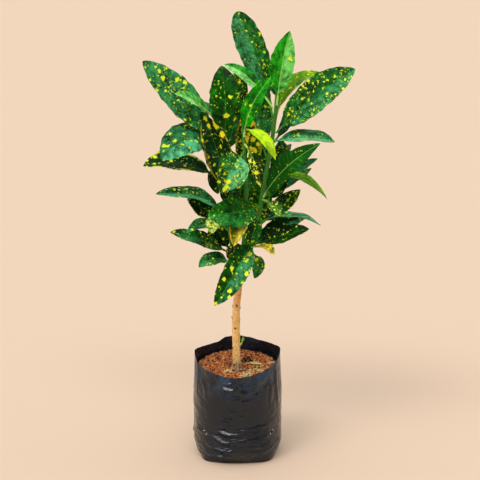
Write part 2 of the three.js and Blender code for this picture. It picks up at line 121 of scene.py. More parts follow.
def add_node(tree: bpy.types.NodeTree, step: Step, *values: Any, **named: Any) -> Node:
    """Adds one node with its settings and links.

    Args:
        tree: The node tree that takes it.
        step: The kind of node.
        values: What goes into its open inputs, in their order: a node or a socket to link, a hex
            colour or a value.
        named: Its properties, and inputs by their names in capitals with spaces as underscores.

    Returns:
        The new node.
    """
    kind, always = step.value
    node = tree.nodes.new("ShaderNode" + kind)
    chosen = always | named
    for name in filter(str.islower, chosen):
        setattr(node, name, chosen[name])
    sockets = [socket for socket in node.inputs if socket.enabled]
    for target, value in itertools.zip_longest(sockets, values):
        if value is None:
            value = chosen.get(target.name.replace(" ", "_"))
        if isinstance(value, bpy.types.Node):
            value = next(socket for socket in value.outputs if socket.enabled)
        if isinstance(value, bpy.types.NodeSocket):
            tree.links.new(value, target)
        elif value is not None:
            target.default_value = linear(value) if isinstance(value, str) else value
    return node


def start_material(name: str) -> tuple[Material, Adder]:
    """Starts an empty material.

    Args:
        name: The real finish that it is named for.

    Returns:
        The material, and add_node for its tree.
    """
    material = bpy.data.materials.new(name)
    material.use_nodes = True
    material.node_tree.nodes.clear()
    return material, partial(add_node, material.node_tree)


def set_stops(ramp: bpy.types.ColorRamp, *stops: tuple[float, str]) -> None:
    """Gives a ramp its colours.

    Args:
        ramp: The ramp.
        stops: Each stop's place and hex colour.
    """
    while len(ramp.elements) < len(stops):
        ramp.elements.new(0.5)
    for element, (at, colour) in zip(ramp.elements, stops):
        element.position = at
        element.color = linear(colour)


def unit(vectors: Array) -> Array:
    """Scales vectors to length one."""
    return vectors / np.linalg.norm(vectors, axis=-1, keepdims=True)


def smoothstep(low: float, high: float, value: Array | float) -> Array:
    """Rises smoothly from 0 at one value to 1 at another."""
    share = np.clip((np.asarray(value, float) - low) / (high - low), 0.0, 1.0)
    return share * share * (3 - 2 * share)


def lerp(start: Any, end: Any, share: Any) -> Any:
    """Goes from one value to another by a share."""
    return start + (end - start) * share


def unevenness(x: Array, y: Array, z: Array, scale: float) -> Array:
    """Gives smooth uneven numbers around 0.

    Args:
        x: Places on the first axis.
        y: Places on the second.
        z: Places on the third.
        scale: What the places are multiplied by.

    Returns:
        A number for each place.
    """
    places = zip(*(np.ravel(axis) * scale for axis in np.broadcast_arrays(x, y, z)))
    numbers = [noise.noise(Vector(place)) for place in places]
    return np.array(numbers).reshape(np.broadcast(x, y, z).shape)


def circle(count: int) -> Array:
    """Gives evenly spaced angles round a full turn."""
    return np.arange(count) / count * FULL_TURN


def grid_faces(rows: int, columns: int, first: int = 0, capped: bool = False) -> Faces:
    """Lists the quads between rings of points.

    Args:
        rows: Number of rings.
        columns: Number of points in a ring.
        first: Number of the first point.
        capped: Whether the first and last ring are closed with a face.

    Returns:
        The corner numbers of each face.
    """
    faces: Faces = []
    for start in range(first, first + (rows - 1) * columns, columns):
        for column in range(columns):
            low, high = start + column, start + (column + 1) % columns
            faces.append((low, high, high + columns, low + columns))
    if capped:
        last = first + (rows - 1) * columns
        faces.append(tuple(range(first + columns - 1, first - 1, -1)))
        faces.append(tuple(range(last, last + columns)))
    return faces


def add_object(name: str, data: Any) -> Object:
    """Puts a mesh, a light or a camera in the scene.

    Args:
        name: The object's name.
        data: What it shows.

    Returns:
        The object.
    """
    made = bpy.data.objects.new(name, data)
    bpy.context.scene.collection.objects.link(made)
    return made


def make_piece(
    name: str,
    points: Array,
    faces: Faces,
    material: Material,
    slot: str,
    replaced: str | None,
    sharp_angle: float = 50.0,
    **layers: Any,
) -> Object:
    """Makes one smooth-shaded piece of the plant.

    Args:
        name: The piece's name.
        points: Its points in millimetres.
        faces: Corner numbers of its faces.
        material: Its finish.
        slot: The record's slot that the finish belongs to; it is not used.
        replaced: The solid that the piece stands for, if it stands for one.
        sharp_angle: Edges bent by more than this many degrees stay crisp.
        layers: What its material reads at each point, as one array of numbers or as three, one
            for each axis of a vector.

    Returns:
        The object.
    """
    mesh = bpy.data.meshes.new(name)
    mesh.from_pydata((points.reshape(-1, 3) * MM).tolist(), [], faces)
    mesh.validate()
    mesh.shade_smooth()
    mesh.set_sharp_from_angle(angle=math.radians(sharp_angle))
    mesh.materials.append(material)
    for layer, axes in layers.items():
        kind, field = ("FLOAT_VECTOR", "vector") if len(axes) == 3 else ("FLOAT", "value")
        values = np.stack(np.broadcast_arrays(*axes), axis=-1).astype(np.float32)
        mesh.attributes.new(layer, kind, "POINT").data.foreach_set(field, values.ravel())
    piece = add_object(name, mesh)
    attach(piece, "root")
    if replaced:
        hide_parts(replaced)
    return piece


class StemName(Enum):
    """The woody trunk and the three leaders that it forks into."""

    TRUNK = "trunk"
    RIGHT = "right"
    LEFT = "left"
    MIDDLE = "middle"


@dataclass(frozen=True)
class Stem:
    """One stem: the points that its centreline passes through and its radii at both ends."""

    line: tuple[Triple, ...]
    radii: Pair

    NEAR = 1e-4
    CLOSE_ENOUGH = 1e-6

    def point(self, share: float) -> Array:
        """Finds the centre at a share of the stem, on a smooth curve through its points.

        Args:
            share: 0 at the foot and 1 at the tip.

        Returns:
            The place in millimetres.
        """
        line = np.array(self.line, float)
        last = len(line) - 1
        index = min(int(last * share), last - 1)
        weight = last * share - index
        before = line[index - 1] if index > 0 else 2 * line[0] - line[1]
        start, end = line[index], line[index + 1]
        after = line[index + 2] if index + 2 <= last else 2 * line[last] - line[last - 1]
        gaps = ((before, start), (start, end), (end, after))
        steps = [float(np.sum((b - a) ** 2)) ** 0.25 for a, b in gaps]
        leave = (start - before) / steps[0] - (end - before) / (steps[0] + steps[1])
        leave = (leave + (end - start) / steps[1]) * steps[1]
        arrive = (end - start) / steps[1] - (after - start) / (steps[1] + steps[2])
        arrive = (arrive + (after - end) / steps[2]) * steps[1]
        square = -3 * start + 3 * end - 2 * leave - arrive
        cube = 2 * start - 2 * end + leave + arrive
        return start + leave * weight + square * weight**2 + cube * weight**3

    def direction(self, share: float) -> Array:
        """Finds the way the stem runs at a share of its length."""
        ahead, behind = min(1.0, share + self.NEAR), max(0.0, share - self.NEAR)
        return unit(self.point(ahead) - self.point(behind))

    def radius(self, share: float) -> float:
        """Finds the plain radius at a share of the stem."""
        return lerp(*self.radii, share)

    def share_at(self, height: float) -> float:
        """Finds the share of the stem that is at a height.

        Args:
            height: Height over the floor.

        Returns:
            The share.
        """
        low, high = 0.0, 1.0
        while high - low > self.CLOSE_ENOUGH:
            middle = (low + high) / 2
            if self.point(middle)[2] < height:
                low = middle
            else:
                high = middle
        return low


FORK: Triple = (3, -2.5, 266)
STEMS: dict[StemName, Stem] = {
    StemName.TRUNK: Stem(
        ((0, -14, 72), (-1, -14, 130), (-2, -12, 175), (-2, -8, 220), (1, -4.5, 250), FORK),
        (6.0, 5.0),
    ),
    StemName.RIGHT: Stem(
        (FORK, (12, 0, 290), (18, 1, 308), (29, 2, 352), (40, 4, 417), (49, 3, 470), (53, 2, 505),
         (55, 0, 532)),
        (4.4, 2.4),
    ),
    StemName.LEFT: Stem(
        (FORK, (-4, 2, 295), (-12, 6, 345), (-18, 6, 410), (-20, 5, 450), (-19, 4, 485)),
        (4.2, 2.3),
    ),
    StemName.MIDDLE: Stem(
        (FORK, (7, -6, 300), (11, -10, 345), (12, -11, 383), (10, -14, 440), (8, -16, 490)),
        (4.0, 2.2),
    ),
}


@dataclass(frozen=True)
class SpotSize:
    """One size of gold spot: how far apart the spots lie and their smallest and largest radius."""

    spacing: float
    small: float
    large: float


@dataclass(frozen=True)
class BladeSignals:
    """What a leaf's points tell its skin: place on the blade, and how this leaf is coloured."""

    flat: Link
    along: Link
    across: Link
    share: Link
    edge: Link
    upper: Link
    # share of painted sheen, a painted reflection of the sky
    painted_sheen: Link
    splash: Link
    dust: Link
    tone: Link
    ripe: Link
    margin: Link
    mottle: Link
    marks: Link


@dataclass(frozen=True)
class LeafSkin:
    """Waxy croton blade, grown green with gold spots where it lacks leaf green.

    The eye gets a leathery satin green that is never even: deep and light greens feather into each
    other along the side veins, a painted teal sheen, a painted reflection of the sky, lightens one
    half, a paler midrib runs to the tip, and gold spots of every size lie between the veins. A
    roughness of 0.32 to 0.65 and an index of 1.45 are typical of a waxed leaf. The waxy coat
    scatters part of the shine, so its level is low.
    """

    name: str
    slot: str
    deep: str
    dark: str
    light: str
    # colour of the painted sheen: a painted reflection of the sky on the wax
    painted_sheen: str
    under: str
    rib: str
    spot: str = "#e8f62c"
    fringe: str = "#8fc01c"
    ripe: str = "#ffc61c"
    mottle: str = "#cfe45c"
    roughness: float = 0.38
    rib_strength: float = 0.32

    VEIN_SPACING = 7.5
    VEIN_SLANT = 0.6
    RIB_WIDTH = 1.1
    RIB_WIDTH_AT_TIP = 0.35
    # how wide the parts of each pattern are, in millimetres
    GRAIN = 1.25
    STREAK = 5.8824
    CLOUD = 20.0
    MOTTLE = 5.0
    MARGIN_PART = 14.286
    CLUSTER = 22.222
    LUMP = 3.5714
    # how far outlines are pushed about, and how wide each push is
    PUSH = (7.0, 7.0, 0.0)
    PUSH_WIDTH = 2.38095
    # how soft a spot's edge is, as a share of the spacing
    SPOT_EDGE = 0.045
    SPLASH = SpotSize(12.0, 1.1, 3.2)
    SPECK = SpotSize(6.5, 0.5, 1.5)
    # dust under a pixel across, drawn about twice as coarse so that it shows
    DUST = SpotSize(3.8, 0.35, 0.7)

    def read(self, add: Adder) -> BladeSignals:
        """Reads what is stored at the leaf's points.

        Args:
            add: What adds nodes to the material.

        Returns:
            What the leaf is painted by.
        """
        names = ("pattern_mm", "blade_mm", "blade_share", "look", "habit", "gold")
        flat, *layers = (add(Step.LAYER, attribute_name=name).outputs["Vector"] for name in names)
        blade, share, look, habit, gold = (add(Step.SPLIT, layer).outputs[:] for layer in layers)
        return BladeSignals(flat, *blade[:2], *share, *look, *habit, *gold[:2])

    def spots(self, add: Adder, place: Link, size: SpotSize, amount: Link) -> Node:
        """Draws scattered spots of one size.

        Args:
            add: What adds nodes to the material.
            place: Place on the blade in millimetres, already made uneven.
            size: Their size.
            amount: Share of the places that carry a spot.

        Returns:
            1 in a spot and 0 outside.
        """
        cells = add(Step.CELLS, place, Scale=1 / size.spacing).outputs
        one, other, _ = add(Step.SPLIT, cells["Color"]).outputs
        least, most = size.small / size.spacing, size.large / size.spacing
        radius = add(Step.TIMES_PLUS, add(Step.POWER, one, 2.2), most - least, least)
        outside = add(Step.MINUS, cells["Distance"], radius)
        drawn = add(Step.EASE, outside, self.SPOT_EDGE, -self.SPOT_EDGE)
        return add(Step.TIMES, drawn, add(Step.BELOW, other, amount))

    def greens(self, add: Adder, at: BladeSignals, feather: Link) -> Node:
        """Paints deep and light greens that feather into each other, under a painted teal sheen.

        Args:
            add: What adds nodes to the material.
            at: What the leaf's points tell.
            feather: Streaks along the side veins.

        Returns:
            The colour.
        """
        drift = add(Step.TIMES, add(Step.NOISE, at.flat, 1 / self.CLOUD, 2.0), 0.7)
        uneven = add(Step.TIMES_PLUS, feather, 0.62, drift)
        # the tone is partly the leaf's own green and partly painted shade: leaves deep in the crown are
        # darker
        toned_and_shaded = add(Step.TIMES_PLUS, uneven, 2.1, at.tone)
        green = add(Step.RAMP, add(Step.MINUS, toned_and_shaded, 1.0))
        set_stops(green.color_ramp, (0.1, self.deep), (0.5, self.dark), (0.95, self.light))
        # the painted teal sheen lies in patches, by each half's share of it
        sheen_patches = add(Step.EASE, uneven, 0.49, 0.84, 0.15, 1.5)
        return add(Step.BLEND, add(Step.TIMES, sheen_patches, at.painted_sheen), green, self.painted_sheen)

    def ribs(self, add: Adder, at: BladeSignals, vein: Link, base: Link) -> Node:
        """Paints the faint side veins and the paler midrib.

        Args:
            add: What adds nodes to the material.
            at: What the leaf's points tell.
            vein: 1 on a side vein and 0 off it.
            base: The colour under them.

        Returns:
            The colour.
        """
        veined = add(Step.BLEND, add(Step.TIMES, vein, 0.05), base, self.rib)
        width = add(Step.EASE, at.share, 0.0, 1.0, self.RIB_WIDTH, self.RIB_WIDTH_AT_TIP)
        off = add(Step.OVER, add(Step.SIZE, at.across), width)
        inside = add(Step.EASE, off, 1.0, 0.45, 0.0, self.rib_strength)
        return add(Step.BLEND, inside, veined, self.rib)

    def gold(self, add: Adder, at: BladeSignals, grain: Link, base: Link) -> Node:
        """Paints mottles, scattered spots, a broken gold margin and the large spots.

        Args:
            add: What adds nodes to the material.
            at: What the leaf's points tell.
            grain: Fine leathery grain.
            base: The colour under them.

        Returns:
            The colour.
        """
        # places pushed about, so that no spot is round
        uneven = add(Step.NOISE, at.flat, 1 / self.PUSH_WIDTH, 2.0, 0.5).outputs["Color"]
        pushed = add(Step.PUSH, uneven, self.PUSH, at.flat)
        clouds = add(Step.NOISE, pushed, 1 / self.MOTTLE, 3.0)
        mottled = add(Step.EASE, add(Step.TIMES_PLUS, at.mottle, 0.4, clouds), 0.66, 0.72)
        # a gold margin, broken into stretches
        parts = add(Step.NOISE, at.flat, 1 / self.MARGIN_PART, 2.0)
        broken = add(Step.EASE, parts, 0.47, 0.53)
        rim = add(Step.EASE, add(Step.SIZE, at.edge), 0.78, 0.93)
        spotted = add(Step.TIMES, add(Step.TIMES, rim, broken), at.margin)
        # scattered spots of three sizes, in loose clusters
        crowding = add(Step.NOISE, at.flat, 1 / self.CLUSTER, 1.0)
        cluster = add(Step.EASE, crowding, 0.36, 0.62, 0.3, 1.8)
        specks = add(Step.TIMES_PLUS, at.splash, 0.45, at.dust)
        for size, share in ((self.SPLASH, at.splash), (self.SPECK, specks), (self.DUST, at.dust)):
            drawn = self.spots(add, pushed, size, add(Step.TIMES, share, cluster))
            spotted = add(Step.MOST, spotted, drawn)
        # the large spots, with ragged edges and a fringe
        lumps = add(Step.NOISE, at.flat, 1 / self.LUMP, 1.0)
        lumps = add(Step.TIMES_PLUS, lumps, 5.0, at.marks)
        ragged = add(Step.TIMES_PLUS, grain, 1.6, lumps)
        spotted = add(Step.MOST, spotted, add(Step.EASE, ragged, 3.15, 2.7))
        around = add(Step.EASE, ragged, 4.2, 3.0, 0.0, 0.5)
        under = add(Step.BLEND, around, add(Step.BLEND, mottled, base, self.mottle), self.fringe)
        patches = add(Step.NOISE, at.flat, 1 / self.CLOUD, 1.0)
        ripeness = add(Step.TIMES_PLUS, patches, 0.8, at.ripe)
        return add(Step.BLEND, spotted, under, add(Step.BLEND, ripeness, self.spot, self.ripe))

    def make(self) -> Material:
        """Makes the material, which reads each leaf's own looks from its points.

        Returns:
            The material.
        """
        material, add = start_material(self.name)
        at = self.read(add)
        grain = add(Step.NOISE, at.flat, 1 / self.GRAIN, 2.0)
        off_rib = add(Step.SIZE, at.across)
        slanted = add(Step.TIMES_PLUS, off_rib, -self.VEIN_SLANT, at.along)
        # long streaks that follow the side veins
        forward = add(Step.TIMES_PLUS, off_rib, 0.22, add(Step.SPLIT, at.flat).outputs[1])
        feather = add(Step.NOISE, add(Step.JOIN, slanted, forward), 1 / self.STREAK, 3.0)
        wavering = add(Step.TIMES_PLUS, grain, 3.0, slanted)
        vein = add(Step.EASE, add(Step.ZIGZAG, wavering, self.VEIN_SPACING / 2), 0.7, 0.1)

        top = self.ribs(add, at, vein, self.greens(add, at, feather))
        top = self.gold(add, at, grain, top)
        lower = add(Step.EASE, at.upper, 0.0, 1.0, 0.75, 0.0)
        both = add(Step.BLEND, lower, top, self.under)
        stalk = add(Step.EASE, at.share, 0.03, -0.05)
        # quilted surface: veins lie in shallow grooves of a fine leathery grain
        height = add(Step.TIMES_PLUS, feather, 2.0, add(Step.TIMES_PLUS, vein, -0.45, grain))
        rough = (self.roughness - 0.06, self.roughness + 0.1)
        surface = add(
            Step.SURFACE,
            Base_Color=add(Step.BLEND, stalk, both, self.rib),
            Roughness=add(Step.EASE, grain, 0.3, 0.7, *rough),
            IOR=1.45,
            Specular_IOR_Level=0.1,
            Normal=add(Step.BUMP, Height=height, Strength=0.8, Distance=0.5 * MM),
        )
        add(Step.MATERIAL_END, surface)
        return material


SKINS: dict[str, LeafSkin] = {
    "mature": LeafSkin(
        "mature_croton_blade", "leaf_mature",
        "#032602", "#0c5c04", "#2c9c12", "#5cc486", "#2c7420", "#48a02c",
    ),
    "young": LeafSkin(
        "young_croton_blade", "leaf_young",
        "#065004", "#12a004", "#46cc1c", "#a4f088", "#60c440", "#b4ee74",
        roughness=0.42, rib_strength=0.45,
    ),
    "sprout": LeafSkin(
        "sprouting_croton_blade", "leaf_young",
        "#4c7c08", "#7cb018", "#a8d834", "#d0ec80", "#84b034", "#c0e464",
        roughness=0.42,
    ),
    "olive": LeafSkin(
        "olive_croton_blade", "leaf_olive",
        "#386600", "#609c00", "#94c004", "#b4d03c", "#86ac20", "#b0c83c",
        spot="#ece838", fringe="#a8bc1c", roughness=0.42,
    ),
    "chartreuse": LeafSkin(
        "lime_croton_blade", "leaf_chartreuse",
        "#8cb40c", "#c2ee0c", "#dcfa20", "#ecfc90", "#a8d840", "#ecfa60",
        roughness=0.45, rib_strength=0.35,
    ),
    "mottled": LeafSkin(
        "mottled_croton_blade", "leaf_mottled",
        "#0c2c04", "#347010", "#74b428", "#a4d074", "#8fae50", "#b8d058",
        mottle="#e4f070", roughness=0.42,
    ),
    "dying": LeafSkin(
        "fading_croton_blade", "leaf_dying",
        "#4c6a10", "#b8a018", "#f0cc28", "#f4f090", "#dca010", "#f0e070",
        spot="#fbe83c", fringe="#e0a81c", mottle="#f6e440", roughness=0.55,
    ),
}


@dataclass(frozen=True)
class BladeForm:
    """Outline and set of a blade, and the skin that it wears."""

    widest: float
    taper: float
    wave: float
    fold: float
    skin: str

    def outline(self, share: Array) -> Array:
        """Gives the half width along the blade.

        Args:
            share: Shares of its length.

        Returns:
            The half width at each, as a share of the widest.
        """
        rise = self.taper * self.widest / (1 - self.widest)
        peak = self.widest**rise * (1 - self.widest) ** self.taper
        return share**rise * (1 - share) ** self.taper / peak


FORMS: dict[str, BladeForm] = {
    "mature": BladeForm(0.48, 0.8, 1.6, 14, "mature"),
    "broad": BladeForm(0.48, 0.75, 1.4, 12, "mature"),
    "blunt": BladeForm(0.6, 0.5, 1.2, 12, "mature"),
    "young": BladeForm(0.48, 0.9, 0.8, 16, "young"),
    "olive": BladeForm(0.5, 0.9, 0.8, 16, "olive"),
    "chartreuse": BladeForm(0.45, 0.9, 0.6, 14, "chartreuse"),
    "mottled": BladeForm(0.5, 0.8, 1.4, 12, "mottled"),
    "dying": BladeForm(0.45, 0.9, 1.8, 26, "dying"),
}


@dataclass(frozen=True)
class Look:
    """How one leaf is coloured.

    Pairs give both halves of the blade as seen from the stalk with the upper face towards the
    eye: right, then left. Marks are large spots: share along the blade, share across it, half
    length and half width.
    """

    # share of painted sheen on each half: a painted reflection of the sky that turns it teal
    painted_sheen: Pair = (0.1, 0.12)
    # tone of each half, partly its own green and partly painted shade: leaves deep in the crown are set
    # darker
    tone: Pair = (-0.1, -0.1)
    splash: float = 0.25
    dust: float = 0.2
    ripe: float = -0.5
    margin: float = 0.0
    mottle: Pair = (0.0, 0.0)
    marks: tuple[tuple[float, float, float, float], ...] = ()


# each leaf's looks, with its painted sheen, and painted shade in the tone of leaves deep in the crown
LOOKS: dict[str, Look] = {
    "top": Look(
        (0.08, 0.38), (0.1, 0.08), 0.1, 0.2,
        marks=((0.7, -0.86, 2.6, 2.1), (0.64, -0.09, 1.9, 2.8), (0.5, -0.69, 2.1, 2)),
    ),
    "upright": Look((0.36, 0.02), (0, -0.05), 0.03, 0.06, marks=((0.59, -0.63, 2.5, 4.8),)),
    "olive_arch": Look((0, 0), (0, 0.05), 0.45, 0.45, marks=((0.44, 0.8, 2, 2.3),)),
    "right_upper": Look(
        (0.26, 0.06), (0.05, -0.05), 0.3, 0.3,
        marks=(
            (0.43, 0.9, 2.1, 2.2), (0.6, -0.36, 2.2, 2.5), (0.85, -0.42, 1.8, 2.2),
            (0.35, -0.84, 2.1, 2.2), (0.35, 0.39, 1.8, 1.8),
        ),
    ),
    "right_behind": Look((0.05, 0.05), (-0.15, -0.15), 0.15, 0.2),
    "right_level": Look((0.6, 0.4), (0, 0.1), 0.12, 0.2, marks=((0.35, 0.39, 2.6, 3.1),)),
    "right_front": Look((0, 0), (-0.42, -0.65), 0.04, 0.06),
    "right_shade_high": Look((0.3, 0.3), (-0.1, -0.1), 0.1, 0.1),
    "right_shade_low": Look((0.3, 0.3), (-0.1, -0.1), 0.1, 0.1),
    "olive_droop": Look((0, 0), (-0.1, 0), 0.08, 0.15),
    "right_under_front": Look((0, 0.05), (-0.3, 0.1), 0.15, 0.2),
    "right_spotted": Look(
        (0, 0.05), (-0.1, -0.2), 0.4, 0.4, marks=((0.43, -0.9, 2.2, 2.8), (0.55, -0.18, 1.7, 2.2))
    ),
    "pale_hanging": Look((0.05, 0), (0, -0.15), 0.3, 0.3, -0.4, mottle=(0.25, 0.2)),
    "right_blade_thin": Look((0.5, 0.5), (0, 0), 0.05, 0.1),
    "right_blade_back": Look((0.4, 0), (0, -0.25), 0.1, 0.2),
    "right_low": Look((0, 0), (-0.25, -0.4), 0.03, 0.14, marks=((0.77, 0.69, 1.5, 1.5),)),
    "curled_tip": Look((0, 0), (0.1, -0.1), 0.3, 0.2, mottle=(0.4, 0.4)),
    "low_right_small": Look((0.1, 0.25), (0.1, 0.15), 0.25, 0.4, marks=((0.2, -0.2, 3.2, 3),)),
    "front_low": Look(
        (0, 0.3), (-0.08, 0.05), 0.12, 0.15,
        marks=(
            (0.17, 0.45, 4.2, 3.4), (0.28, 0.33, 3.4, 2.8), (0.44, 0.81, 3.5, 3.9),
            (0.56, 0.9, 2.3, 2.2), (0.64, 0.6, 1.7, 1.7), (0.74, 0.45, 3.7, 3.4),
            (0.81, 0.86, 2.8, 2.8), (0.65, -0.57, 2.9, 2.7), (0.48, -0.39, 3.9, 3.2),
            (0.97, -0.15, 2.5, 2.7), (0.76, -0.72, 1.4, 1.5),
        ),
    ),
    "left_upper": Look(
        (0.24, 0.22), (0.05, 0.05), 0.3, 0.3,
        marks=(
            (0.61, -0.69, 3.2, 3.7), (0.53, -0.84, 3.2, 3.5), (0.71, 0.51, 2.1, 2.9),
            (0.71, 0.9, 1.6, 2.3), (0.62, 0.36, 2.1, 2.9), (0.82, 0.81, 1.7, 2.4),
            (0.34, -0.3, 1.8, 1.9), (0.77, -0.87, 2, 2),
        ),
    ),
    "left_young": Look((0.3, 0.85), (0.1, 0.1), 0.03, 0.06),
    "dark_upright": Look(
        (0, 0), (-0.08, 0.04), 0.06, 0.1,
        marks=(
            (0.54, -0.33, 2.2, 3.6), (0.59, -0.78, 1.5, 2.2), (0.25, -0.06, 4.1, 4.2),
            (0.21, -0.72, 3.7, 1.7),
        ),
    ),
    "pale_left": Look((0.04, 0.85), (-0.05, 0.1), 0.02, 0.05),
    "bright_middle": Look((0, 0), (-0.05, -0.05), 0.05, 0.1, marks=((0.45, 0.18, 1.8, 2.6),)),
    "chartreuse": Look((0, 0), (-0.15, 0), 0, 0),
    "left_middle": Look(
        (0.22, 0.75), (0, 0.1), 0.15, 0.15,
        marks=(
            (0.65, -0.27, 3.2, 2.5), (0.64, -0.81, 2.5, 2.2), (0.83, -0.69, 2.2, 2.3),
            (0.58, 0.21, 1.9, 1.8),
        ),
    ),
    "left_long": Look(
        (0.02, 0), (-0.35, -0.4), 0.25, 0.15, -0.3, 0.8,
        marks=(
            (0.79, -0.69, 2.9, 3.2), (0.83, 0.21, 2.7, 3.2), (0.56, -0.06, 2.7, 3.1),
            (0.91, -0.9, 1.9, 2.1), (0.39, 0.9, 3.7, 2.4), (0.29, 0.9, 3, 2.4),
        ),
    ),
    "left_dark_front": Look(
        (0, 0.04), (-0.35, -0.5), 0.2, 0.2, 0.1, 0.35,
        marks=(
            (0.94, -0.15, 3.4, 3.1), (0.82, -0.8, 6.5, 3.9), (0.68, -0.82, 4.4, 4.3),
            (0.84, -0.06, 4.4, 2.6), (0.7, 0.9, 2.8, 2.6), (0.54, -0.36, 2.3, 2.1),
            (0.33, 0.51, 2.4, 2.2),
        ),
    ),
    "left_shade_low": Look((0, 0), (-0.2, -0.2), 0.2, 0.2),
    "heart_front": Look(
        (0.08, 0.7), (-0.02, 0.2), 0.12, 0.4, mottle=(0, 0.15),
        marks=(
            (0.74, 0.18, 4.1, 3.4), (0.92, 0.24, 3.3, 2.4), (0.86, 0.36, 4.4, 2.6),
            (0.53, -0.69, 2.5, 2), (0.83, -0.75, 2.2, 3.5), (0.65, -0.33, 1.8, 2.1),
            (0.53, 0.42, 2.7, 1.9), (0.38, 0.78, 2.4, 1.6), (0.65, -0.84, 1.7, 2.3),
        ),
    ),
    "left_level": Look(
        (0.15, 0.6), (-0.05, 0.1), 0.12, 0.25,
        marks=((0.75, -0.51, 2, 1.9), (0.58, -0.6, 2.3, 2.1)),
    ),
    "left_shade": Look((0, 0), (-0.2, -0.3), 0.5, 0.5, 0, 0.3),
    "centre_front": Look((0, 0.06), (-0.05, 0.08), 0.04, 0.12),
    "mottled_tip": Look((0.1, 0.1), (0.2, 0.2), 0.3, 0.4, mottle=(0.45, 0.5)),
    "left_low_small": Look((0.1, 0.3), (0, 0), 0.12, 0.25, marks=((0.86, 0.24, 1.9, 2.4),)),
    "left_low": Look((0.05, 0.2), (-0.1, 0), 0.3, 0.5, marks=((0.42, -0.33, 1.8, 1.6),)),
    "left_hook": Look((0.08, 0.2), (-0.1, 0), 0.15, 0.3),
    "yellow_folded": Look((0, 0.1), (-0.45, 0), 0.2, 0.2, 0.5, 1, mottle=(0.1, 0.3)),
    "narrow_front": Look((0, 0), (-0.2, -0.05), 0.15, 0.3),
    "blue_back": Look(
        (0.12, 0.2), (0, 0), 0.15, 0.3, marks=((0.93, 0.7, 2.3, 4.6), (0.65, -0.42, 2.5, 2.8))
    ),
    "teal_upright": Look((0.25, 0), (-0.15, -0.1), 0.2, 0.3, marks=((0.56, 0.7, 2.7, 3.1),)),
    "mottled_hanging": Look((0, 0), (-0.25, -0.6), 0.4, 0.4, mottle=(0.35, 0.1)),
    "middle_blotched": Look(
        (0, 0), (-0.05, -0.2), 0.4, 0.4, 0.1, 0.3,
        marks=(
            (0.9, 0.7, 4.3, 3.2), (0.82, -0.78, 4, 3), (0.6, 0.09, 6, 3.2),
            (0.58, -0.39, 4, 3.8), (0.45, -0.15, 3.4, 2.6), (0.41, -0.48, 4.8, 2.8),
            (0.51, -0.72, 3, 2.8),
        ),
    ),
    "centre_shade": Look((0.05, 0), (0, -0.3), 0.3, 0.3),
    "low_shade": Look((0, 0), (-0.2, -0.2), 0.4, 0.5, -0.1, 0.2),
    "inner_back": Look((0, 0.1), (0, 0), 0.4, 0.3, 0.1, 0.1),
    "back_middle": Look((0, 0), (-0.1, -0.1), 0.3, 0.4, 0.2),
    "back_left_low": Look((0, 0), (-0.35, -0.35), 0.5, 0.5, -0.2),
    "back_right_low": Look((0, 0), (0, 0.05), 0.5, 0.4, -0.2),
    "back_low": Look((0, 0), (0, -0.15), 0.2, 0.2),
    "sprout": Look((0, 0), (0.1, 0.1), 0, 0),
}


